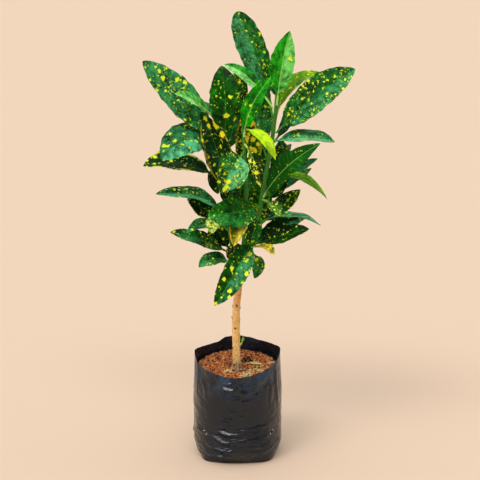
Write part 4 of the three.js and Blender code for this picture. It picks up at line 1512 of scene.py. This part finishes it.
    def fold(self, crease: Crease, around: Array, height: Array) -> Array:
        """Finds how far one crease lifts the film.

        Args:
            crease: The crease.
            around: Millimetres round the bag from the front.
            height: Height of each point.

        Returns:
            The lift in millimetres, with a hollow under the crest.
        """
        full = FULL_TURN * self.radius()
        path = np.array(crease.path, float)
        path[:, 0] = np.radians(path[:, 0]) * self.radius()
        middle = path[:, 0].mean()
        off = (around - middle + full / 2) % full - full / 2
        path[:, 0] -= middle
        nearest = np.full(height.shape, math.inf)
        above, along = np.zeros_like(height), np.zeros_like(height)
        for index, (start, end) in enumerate(zip(path[:-1], path[1:])):
            step = end - start
            share = ((off - start[0]) * step[0] + (height - start[1]) * step[1]) / (step @ step)
            share = np.clip(share, 0, 1)
            across, up = off - start[0] - share * step[0], height - start[1] - share * step[1]
            far = np.hypot(across, up)
            closer = far < nearest
            above = np.where(closer, np.sign(step[0] * up - step[1] * across), above)
            along = np.where(closer, (index + share) / (len(path) - 1), along)
            nearest = np.minimum(far, nearest)
        faded = np.sin(math.pi * np.clip(along, 0.02, 0.98)) ** 0.4
        signed = nearest * above
        crest = np.exp(-((signed / crease.width) ** 2))
        hollow = np.exp(-(((signed + 2.2 * crease.width) / (1.4 * crease.width)) ** 2))
        return crease.rise * faded * (crest - 0.5 * hollow)

    def punched(self, angle: Array, height: Array, radius: Array) -> tuple[Array, ...]:
        """Tears the drain holes: film round each is drawn to its ragged edge and pushed out.

        Args:
            angle: Angle of each point from +X.
            height: Its height.
            radius: Its distance from the axis.

        Returns:
            The moved angle, height and radius, which points are gone, and how stretched each is.
        """
        gone, stretched = np.zeros_like(height), np.zeros_like(height)
        around = angle * self.radius()
        chance = random.Random(self.seed)
        for degrees in self.hole_angles:
            centre = math.radians(degrees % 360) * self.radius()
            across, up = around - centre, height - self.hole_height
            far, bearing = np.hypot(across, up), np.arctan2(up, across)
            torn = sum(
                chance.uniform(0.05, 0.14) * np.sin(k * bearing + chance.uniform(0, 6))
                for k in (1, 2, 3, 5, 7)
            )
            edge = self.hole_radius * (1 + torn)
            near = (far < edge * 1.28) & (far > edge * 0.72)
            pull = np.where(near, edge / np.maximum(far, 0.1), 1)
            angle = angle + across * (pull - 1) / self.radius()
            height = height + up * (pull - 1)
            gone = np.maximum(gone, (far < edge * 0.72).astype(float))
            # only part of the edge turned out, where the punch tore it
            flap = 0.25 + 0.75 * smoothstep(-0.1, 0.8, np.sin(bearing * 2 + chance.uniform(0, 6)))
            stretched = np.maximum(stretched, flap * smoothstep(1.7 * edge, 1.05 * edge, far))
            radius = radius + 0.9 * flap * smoothstep(1.9 * edge, 1.0 * edge, far)
        return angle, height, radius, gone, stretched

    def shaped(self) -> tuple[Array, ...]:
        """Shapes the outer face of the wall, with its folds and torn holes.

        Returns:
            Its rings of points, which points are gone, and how stretched each is.
        """
        angles = circle(self.columns)
        wall = self.rim_start * (np.linspace(0, 1, self.wall_rows) ** 1.1)
        rim_shares = np.linspace(0, 1, self.rim_rows + 1)[1:, None]
        upper = lerp(self.rim_start, self.rim_height(angles)[None], rim_shares)
        height = np.concatenate([np.repeat(wall[:, None], self.columns, axis=1), upper])
        angle = np.repeat(angles[None], len(height), axis=0)
        around = (angle + math.pi / 2) * self.radius()
        lift = sum(self.fold(crease, around, height) for crease in self.every_crease())
        radius = self.wall_radius(height, angle)
        radius = radius + np.clip(lift, *self.fold_limits) * smoothstep(0, 5, height)
        slack = unevenness(np.cos(angle), np.sin(angle), height / 85, 2.4)
        radius = radius + self.slackness * slack * smoothstep(0, 20, height)
        angle, height, radius, gone, stretched = self.punched(angle, height, radius)
        walls = np.stack([radius * np.cos(angle), radius * np.sin(angle), height], axis=-1)
        return walls, gone, stretched

    def build(self) -> Object:
        """Makes the bag: its floor, its wall up to the rim, and the film's inner face there.

        Returns:
            The object.
        """
        walls, gone, stretched = self.shaped()
        floor = (walls[0] * (1, 1, 0))[None] * np.array(self.floor_rings)[:, None, None]
        # every third row of the wall again, from the rim down, for the inner face
        inner = walls[: -self.inner_rows * 3 - 1 : -3].copy()
        inner[..., :2] *= 1 - self.film_thickness / self.radius()
        grid = np.concatenate([floor, walls, inner])
        gone, stretched = (
            np.pad(part, ((len(floor), len(inner)), (0, 0))).ravel() for part in (gone, stretched)
        )
        quads = grid_faces(len(grid), self.columns)
        kept = [quad for quad in quads if not any(gone[corner] > 0 for corner in quad)]
        kept.append(tuple(range(self.columns - 1, -1, -1)))
        used = sorted({corner for face in kept for corner in face})
        renumbered = {old: new for new, old in enumerate(used)}
        faces = [tuple(renumbered[corner] for corner in face) for face in kept]
        points = grid.reshape(-1, 3)[used]
        outside = np.array(used) < (len(grid) - len(inner)) * self.columns
        layers = self.wear_and_sheen(points, stretched[used], outside)
        return make_piece(
            "nursery_bag_film", points, faces, FilmFinish().make(), "bag_film", "grow_bag", 70,
            **layers,
        )

    def wear_and_sheen(
        self, points: Array, stretched: Array, outside: Array
    ) -> dict[str, tuple[Any, ...]]:
        """Works out where the film carries a painted blue sheen, where it is grey with dust and a painted
        side sheen, where it is stretched pale, and where it is creased.

        Args:
            points: The bag's points.
            stretched: How stretched each of them is.
            outside: Which of them are on the outer face.

        Returns:
            The layers that the film's finish reads.
        """
        x, y, height = points.T
        front_left = smoothstep(20, -30, x) * smoothstep(0, -40, y)
        # a painted blue sheen near the rim, fainter on the inner face
        painted_blue_sheen = smoothstep(92, 130, height) * np.where(outside, 1.0, 0.3)
        # more dust low down, and most grey on the left and right sides, where it is a painted sheen
        dust_and_side_sheen = lerp(0.4, 0.2, smoothstep(20, 110, height))
        dust_and_side_sheen = dust_and_side_sheen * lerp(0.15, 1.0, smoothstep(30, 62, np.abs(x)))
        sagging = smoothstep(68, 44, height) * lerp(0.35, 0.12, front_left)
        pulled = smoothstep(95, 125, height) * smoothstep(20, 50, np.abs(x)) * 0.3
        return {
            "film_mm": (x, y, height),
            "wear_and_sheen": (painted_blue_sheen, dust_and_side_sheen, stretched),
            "creased": (sagging, pulled, 0.0),
        }


@dataclass(frozen=True)
class CoirFinish:
    """Loose coir potting mix.

    The eye gets a dry, matte, reddish crumble of pellets, chips and fibres, from nearly black,
    darkest where shade is painted into its hollow and down its sides, to tan on dry strands and
    yellow-green on old chips. Coir is rough all over.
    """

    dark: str = "#1e0e06"
    mid: str = "#c8682e"
    bright: str = "#f0a058"
    straw: str = "#dcc890"
    chip: str = "#b4b45c"

    # width of the grain, in millimetres
    GRAIN = 1.42857

    def make(self) -> Material:
        """Makes the material, which reads the tone of each crumb, with the painted shade that it holds.

        Returns:
            The material.
        """
        material, add = start_material("coir_potting_mix")
        place = add(Step.LAYER, attribute_name="mix_mm").outputs["Vector"]
        tone = add(Step.LAYER, attribute_name="tone").outputs["Fac"]
        grain = add(Step.NOISE, place, 1 / self.GRAIN, 4.0)
        colour = add(Step.RAMP, add(Step.MINUS, add(Step.TIMES_PLUS, grain, 0.5, tone), 0.25))
        set_stops(
            colour.color_ramp, (0.05, self.dark), (0.3, self.mid), (0.55, self.bright),
            (0.75, self.straw), (0.92, self.chip),
        )
        relief = add(Step.BUMP, Height=grain, Strength=0.9, Distance=0.9 * MM)
        surface = add(Step.SURFACE, Base_Color=colour, Roughness=0.92, IOR=1.4, Normal=relief)
        add(Step.MATERIAL_END, surface)
        return material


# the twelve corners of a crumb, those of a regular solid with twenty faces
GOLDEN = (1 + math.sqrt(5)) / 2
CORNERS = np.array(
    [
        corner
        for a in (-1.0, 1.0)
        for b in (-GOLDEN, GOLDEN)
        for corner in ((0.0, a, b), (a, b, 0.0), (b, 0.0, a))
    ]
)
# an edge between two of them is 2 long, and the next distance is 3.2
EDGE_LIMIT = 2.1


@dataclass
class PottingMix:
    """Coir mix that fills the bag, with crumbs, fibres, a hollow and old chips."""

    bag: NurseryBag
    level: float = 131.0
    slope: float = 0.12
    lump: float = 0.66
    wall_gap: float = 1.7
    body_heights: tuple[float, ...] = (1.2, 4, 10, 18, 27, 45, 62, 100, 118)
    rings: int = 56
    columns: int = 200
    crumbs: int = 7000
    fibres: int = 420
    fibre_sides: int = 3
    fibre_steps: int = 6
    flakes: int = 150
    hollow: Triple = (13.0, 24.0, 9.0)
    hollow_depth: float = 5.0
    # how far the trunk's foot is in front of the bag's middle, and the room that it takes
    trunk_offset: float = 14
    trunk_clear: float = 7.0
    chip_reach: float = 70
    # old chips: middle of the patch, spread, and how many lie there
    chip_patches: tuple[tuple[float, float, float, int], ...] = (
        (14, -22, 9, 60), (30, -10, 10, 50), (48, 14, 5, 26), (-12, -16, 7, 26), (26, 8, 12, 20),
    )
    seed: int = 21

    def height(self, x: Array, y: Array) -> Array:
        """Finds the height of the plain surface at a place."""
        lumps = np.sin(x / 9 + 1) * np.cos(y / 11) + 0.6 * np.sin((x + y) / 6.5)
        return self.level + self.slope * y + self.lump * lumps

    def ground(self, x: Array, y: Array) -> Array:
        """Finds the height of the crumbly surface at a place, with its hollow."""
        rough = 1.2 * unevenness(x, y, 14.0, 0.22) + 0.7 * unevenness(x, y, 13.0, 0.6)
        return self.height(x, y) + rough - self.hollow_depth * self.sunk(x, y)

    def sunk(self, x: Array, y: Array) -> Array:
        """Finds how far into the hollow a place is, from 0 to 1."""
        far = np.hypot(x - self.hollow[0], y - self.hollow[1]) / self.hollow[2]
        return np.exp(-(far**4))

    def from_trunk(self, x: float, y: float) -> float:
        """Finds how far a place is from the middle of the trunk's foot."""
        return math.hypot(x, y + self.trunk_offset)

    def surface(self) -> tuple[Array, Array]:
        """Shapes the body of the mix.

        Returns:
            Its rings of points and the tone of each point, which holds painted shade in the hollow and
            down the sides.
        """
        angles = circle(self.columns)
        turned = np.stack([np.cos(angles), np.sin(angles)], -1)
        rings = []
        for level in self.body_heights:
            height = np.full(self.columns, float(level))
            radius = self.bag.wall_radius(height, angles)
            flat = turned * (radius - self.wall_gap)[:, None]
            rings.append(np.column_stack([flat, height]))
        # the sides of the body, seen only through the drain holes, are dark: painted shade
        tones_and_shade = [np.full(self.columns, -0.2)] * len(rings)
        edge = self.bag.wall_radius(np.full(self.columns, self.level), angles) - self.wall_gap
        for share in np.linspace(1, 0.02, self.rings):
            x, y = (turned * edge[:, None] * share).T
            rings.append(np.column_stack([x, y, self.ground(x, y)]))
            # darker in the hollow: painted shade
            tones_and_shade.append(0.02 - 0.3 * self.sunk(x, y))
        return np.array(rings), np.array(tones_and_shade)

    def place(self, chance: random.Random, reach: float) -> Pair:
        """Draws a place on the surface, clear of the trunk.

        Args:
            chance: The source of random numbers.
            reach: Greatest distance from the bag's middle.

        Returns:
            X and Y.
        """
        while True:
            far, turn = reach * math.sqrt(chance.random()), chance.uniform(0, FULL_TURN)
            x, y = far * math.cos(turn), far * math.sin(turn)
            if self.from_trunk(x, y) > self.trunk_clear:
                return x, y

    def crumb(self, chance: random.Random, place: Pair, sizes: Triple, lift: float) -> Array:
        """Shapes one crumb as a rough pebble with twelve corners.

        Args:
            chance: The source of random numbers.
            place: Where it lies.
            sizes: Its three half sizes.
            lift: Height of its middle over the surface.

        Returns:
            Its points.
        """
        solid = unit(CORNERS) * np.array([[chance.uniform(0.7, 1.15)] for _ in CORNERS])
        x, y, z = (solid * sizes).T
        yaw, tip = chance.uniform(0, FULL_TURN), chance.uniform(-0.5, 0.5)
        y, z = y * math.cos(tip) - z * math.sin(tip), y * math.sin(tip) + z * math.cos(tip)
        x, y = x * math.cos(yaw) - y * math.sin(yaw), x * math.sin(yaw) + y * math.cos(yaw)
        ground = float(self.ground(*place))
        return np.stack([x + place[0], y + place[1], z + ground + lift], axis=-1)

    def crumb_faces(self) -> Faces:
        """Lists the twenty faces of a crumb, each turned outward.

        Returns:
            The corner numbers of each face.
        """
        faces: Faces = []
        gaps = np.linalg.norm(CORNERS[:, None] - CORNERS, axis=-1)
        for i, j, k in itertools.combinations(range(len(CORNERS)), 3):
            if max(gaps[i, j], gaps[i, k], gaps[j, k]) < EDGE_LIMIT:
                normal = np.cross(CORNERS[j] - CORNERS[i], CORNERS[k] - CORNERS[i])
                faces.append((i, j, k) if normal @ CORNERS[i] > 0 else (i, k, j))
        return faces

    def build(self) -> list[Object]:
        """Makes the mix, the crumbs and chips on it, and its loose fibres.

        Returns:
            The three pieces.
        """
        chance = random.Random(self.seed)
        finish = CoirFinish().make()
        rings, tones_and_shade = self.surface()
        faces = grid_faces(len(rings), self.columns, capped=True)
        body = self.finished("coir_mix", rings, faces, tones_and_shade, finish, "potting_mix", 180)
        return [body, self.make_crumbs(chance, finish), self.make_fibres(chance, finish)]

    def finished(
        self,
        name: str,
        points: Array,
        faces: Faces,
        tones_and_shade: Array,
        finish: Material,
        replaced: str | None,
        sharp_angle: float,
    ) -> Object:
        """Makes one piece of the mix, whose finish reads the place of its points and their tone, which
        holds painted shade.
        """
        layers = {"tone": (tones_and_shade,), "mix_mm": points.reshape(-1, 3).T}
        return make_piece(name, points, faces, finish, "coir_mix", replaced, sharp_angle, **layers)

    def make_crumbs(self, chance: random.Random, finish: Material) -> Object:
        """Makes the crumbs and the old chips that lie on the mix.

        Args:
            chance: The source of random numbers.
            finish: The coir finish.

        Returns:
            All of them as one piece.
        """
        reach = self.bag.rim_radius - 4.0
        points, tones_and_shade = [], []
        for _ in range(self.crumbs):
            size = 0.45 + 1.25 * chance.random() ** 2.6
            sizes = (size * chance.uniform(0.9, 1.5), size * chance.uniform(0.6, 1.0), size * 0.7)
            lift = size * chance.uniform(-0.1, 0.7)
            place = self.place(chance, reach)
            points.append(self.crumb(chance, place, sizes, lift))
            # crumbs in the hollow are darkened too: painted shade
            shade = 0.5 * float(self.sunk(*place))
            tones_and_shade.append(min(0.6, max(-0.05, chance.gauss(0.3, 0.17))) - shade)
        for x, y, spread, count in self.chip_patches:
            for _ in range(count):
                place = (chance.gauss(x, spread / 2), chance.gauss(y, spread / 2))
                clear = self.trunk_clear < self.from_trunk(*place) < self.chip_reach
                if clear and math.hypot(*place) <= reach:
                    size = chance.uniform(0.9, 3.2)
                    points.append(self.crumb(chance, place, (size, size * 0.45, 0.5), 1.3))
                    tones_and_shade.append(chance.uniform(0.7, 0.95))
        # pale flakes of bark and root that lie against the foot of the trunk
        for _ in range(self.flakes):
            turn, far = chance.uniform(0, FULL_TURN), chance.uniform(7.2, 12.0)
            place = (far * math.cos(turn) - 1, far * math.sin(turn) - self.trunk_offset)
            size = chance.uniform(1.0, 2.8)
            lift = chance.uniform(0.6, 13.2 - far)
            points.append(self.crumb(chance, place, (size, size * 0.55, 0.6), lift))
            tones_and_shade.append(chance.choice((0.1, 0.45, 0.6, 0.68)))
        shape, corners = self.crumb_faces(), len(CORNERS)
        starts = range(0, len(points) * corners, corners)
        faces = [tuple(first + corner for corner in face) for first in starts for face in shape]
        every_tone_and_shade = np.repeat(tones_and_shade, corners)
        gathered = np.concatenate(points)
        return self.finished("coir_crumbs", gathered, faces, every_tone_and_shade, finish, None, 30)

    def make_fibres(self, chance: random.Random, finish: Material) -> Object:
        """Makes the loose coir strands.

        Args:
            chance: The source of random numbers.
            finish: The coir finish.

        Returns:
            All of them as one piece.
        """
        points, tones_and_shade = [], []
        faces: Faces = []
        sides, steps = self.fibre_sides, self.fibre_steps
        count = sides * (steps + 1)
        reach = self.bag.rim_radius - 5.0
        for index in range(self.fibres):
            x, y = self.place(chance, reach)
            turn, curl = chance.uniform(0, FULL_TURN), chance.uniform(-0.5, 0.5)
            step, radius = chance.uniform(3, 11) / steps, chance.uniform(0.14, 0.3)
            rise = chance.uniform(0.1, 0.9)
            strand = []
            for k in range(steps + 1):
                arch = rise + 1.1 * math.sin(math.pi * k / steps) + 0.01 * k
                strand.append((x, y, float(self.ground(x, y)) + arch))
                if math.hypot(x, y) < reach + 1:
                    x, y = x + step * math.cos(turn), y + step * math.sin(turn)
                turn += curl
            line = np.array(strand)
            # a strand that rises straight up still needs a side
            along = unit(np.gradient(line, axis=0) + (1e-6, 0, 0))
            side = unit(np.cross(along, (0.0, 0.0, 1.0)))
            up = np.cross(side, along)
            turns = circle(sides) + 0.5
            rings = [line + radius * (math.cos(a) * side + math.sin(a) * up) for a in turns]
            faces += grid_faces(steps + 1, sides, index * count)
            points.append(np.stack(rings, axis=1).reshape(-1, 3))
            tones_and_shade += [min(0.7, max(0.1, chance.gauss(0.42, 0.15)))] * count
        gathered = np.concatenate(points)
        return self.finished("coir_fibres", gathered, faces, np.array(tones_and_shade), finish, None, 180)


@dataclass(frozen=True)
class DryLeafFinish:
    """A shed leaf that has dried: matte straw yellow with brown blotches and a pale midrib."""

    straw: str = "#d6c67c"
    brown: str = "#8f7440"
    pale: str = "#e8dfa8"

    # width of a blotch, in millimetres
    BLOTCH = 2.2222

    def make(self) -> Material:
        """Makes the material.

        Returns:
            The material.
        """
        material, add = start_material("dry_croton_leaf")
        place = add(Step.LAYER, attribute_name="blade_mm").outputs["Vector"]
        blotches = add(Step.NOISE, place, 1 / self.BLOTCH, 4.0)
        base = add(Step.RAMP, blotches)
        set_stops(base.color_ramp, (0.35, self.brown), (0.62, self.straw))
        off_rib = add(Step.SIZE, add(Step.SPLIT, place).outputs["Y"])
        ribbed = add(Step.BLEND, add(Step.EASE, off_rib, 0.6, 0.2, 0.0, 0.8), base, self.pale)
        relief = add(Step.BUMP, Height=blotches, Strength=0.6, Distance=0.4 * MM)
        surface = add(Step.SURFACE, Base_Color=ribbed, Roughness=0.8, IOR=1.4, Normal=relief)
        add(Step.MATERIAL_END, surface)
        return material


@dataclass
class ShedLeaf:
    """A dry rolled leaf that lies on the mix."""

    mix: PottingMix
    start: Pair = (13, 12)
    end: Pair = (36, 8)
    width: float = 7.0
    tip_half_width: float = 0.5
    thickness: float = 0.4
    roll: float = 1.6
    crumpling: float = 0.35
    lift: float = 0.9
    rows: int = 34
    columns: int = 13

    def build(self) -> Object:
        """Makes the leaf.

        Returns:
            The object.
        """
        shares = np.linspace(0, 1, self.rows)[:, None]
        across = np.linspace(-1, 1, self.columns)[None]
        start, end = np.array(self.start, float), np.array(self.end, float)
        ahead = unit(end - start)
        outline = FORMS["mature"].outline(shares)
        wide = np.maximum(self.width / 2 * outline, self.tip_half_width)
        x, y = (
            start[axis] + (end - start)[axis] * shares + side * across * wide
            for axis, side in ((0, -ahead[1]), (1, ahead[0]))
        )
        rolled = self.roll * across**2 * np.sin(math.pi * shares)
        # it dried with crumpled edges
        crumple = self.crumpling * np.sin(9 * shares * math.pi + 2 * across) * across**2
        lower = np.stack([x, y, self.mix.height(x, y) + self.lift + rolled + crumple], axis=-1)
        upper = lower + (0, 0, self.thickness)
        ring = np.concatenate([lower, upper[:, ::-1]], axis=1)
        faces = grid_faces(self.rows, 2 * self.columns, capped=True)
        both = np.concatenate([across, across[:, ::-1]], axis=1) * wide
        return make_piece(
            "shed_leaf", ring, faces, DryLeafFinish().make(), "dry_leaf", "dry_leaf",
            blade_mm=(shares * np.linalg.norm(end - start), both, 0.0),
        )


@dataclass
class Studio:
    """A plain pale floor under a soft sky with one bright window, and one weak soft key light.

    The sky is dim behind the camera, so that the dark leaves stay deep, and as pale as the floor
    at the horizons that the side views see.
    """

    floor_half: float = 30.0
    floor_colour: str = "#dfc1a3"
    horizon: str = "#f6dec4"
    zenith: str = "#e8eef8"
    dim: float = 0.22
    wall: float = 0.9
    overhead: float = 1.02
    window: float = 8.4
    key_strength: float = 0.42
    key_spread: float = 18.0
    # degrees: down from straight above, then round from +X
    key_slant: float = 38.0
    key_bearing: float = 235.0
    camera_place: Triple = (3.5, -2060.0, 842.0)
    camera_pitch: float = 14.15
    lens: float = 111.45

    KEY_TINT = (1.0, 0.97, 0.93)
    SENSOR_WIDTH = 36.0
    FARTHEST_SEEN = 200.0

    def build(self) -> None:
        """Sets the floor, the lights and the camera."""
        self.make_floor()
        self.make_sky()
        self.make_key()
        self.make_camera()

    def make_floor(self) -> None:
        """Lays a floor so large that it fills the whole view."""
        mesh = bpy.data.meshes.new("studio_floor")
        half = self.floor_half
        corners = [(-half, -half, 0), (half, -half, 0), (half, half, 0), (-half, half, 0)]
        mesh.from_pydata(corners, [], [(0, 1, 2, 3)])
        matte, add = start_material("matte_studio_floor")
        surface = add(
            Step.SURFACE, Base_Color=self.floor_colour, Roughness=0.9, Specular_IOR_Level=0.1
        )
        add(Step.MATERIAL_END, surface)
        mesh.materials.append(matte)
        add_object("studio_floor", mesh)

    def make_sky(self) -> None:
        """Makes the sky: its strength and its warmth go by direction."""
        world = bpy.data.worlds.new("soft_studio_sky")
        world.use_nodes = True
        bpy.context.scene.world = world
        world.node_tree.nodes.clear()
        add = partial(add_node, world.node_tree)
        x, y, z = add(Step.SPLIT, add(Step.DIRECTION).outputs["Generated"]).outputs
        # bright behind the plant and on the left
        around = add(Step.MOST, add(Step.EASE, y, -0.5, 0.2), add(Step.EASE, x, 0.1, -0.7))
        low = add(Step.EASE, around, 0.0, 1.0, self.dim, self.wall)
        climb = add(Step.EASE, z, 0.35, 0.85)
        plain = add(Step.EASE, climb, 0.0, 1.0, low, self.overhead)
        # a long window, high in front and to the left, draws the glints on the film's folds
        forward = add(Step.TIMES_PLUS, y, -0.95, add(Step.TIMES, x, -0.3))
        over = add(Step.TIMES, add(Step.EASE, z, 0.68, 0.72), add(Step.EASE, z, 0.86, 0.82))
        window = add(Step.TIMES, add(Step.EASE, forward, 0.36, 0.5), over)
        strength = add(Step.TIMES_PLUS, window, self.window, plain)
        colour = add(Step.BLEND, add(Step.EASE, z, 0.12, 0.4), self.horizon, self.zenith)
        add(Step.WORLD_END, add(Step.SKY, Color=colour, Strength=strength))

    def make_key(self) -> None:
        """Makes the large soft key light, which falls evenly on the whole floor."""
        data = bpy.data.lights.new("soft_key", "SUN")
        data.energy = self.key_strength
        data.angle = math.radians(self.key_spread)
        data.color = self.KEY_TINT
        turned = (0, math.radians(self.key_slant), math.radians(self.key_bearing))
        add_object("soft_key", data).rotation_euler = turned

    def make_camera(self) -> None:
        """Sets the camera where the photograph was taken from."""
        data = bpy.data.cameras.new("camera")
        data.lens = self.lens
        data.sensor_width = self.SENSOR_WIDTH
        data.clip_end = self.FARTHEST_SEEN
        camera = add_object("camera", data)
        camera.location = Vector(self.camera_place) * MM
        camera.rotation_euler = (math.radians(90 - self.camera_pitch), 0, 0)
        bpy.context.scene.camera = camera
        bpy.context.scene.view_settings.view_transform = "Standard"


def main() -> None:
    """Builds the plant, its bag and the studio round it."""
    logging.basicConfig(level=logging.INFO, format="%(message)s")
    bag = NurseryBag()
    mix = PottingMix(bag)
    made = [bag.build(), *mix.build(), ShedLeaf(mix).build(), TrunkWithLeaders().build()]
    made += Foliage().build()
    for piece in made:
        log.info("%s: %d faces", piece.name, len(piece.data.polygons))
    Studio().build()


if __name__ == "__main__":
    main()
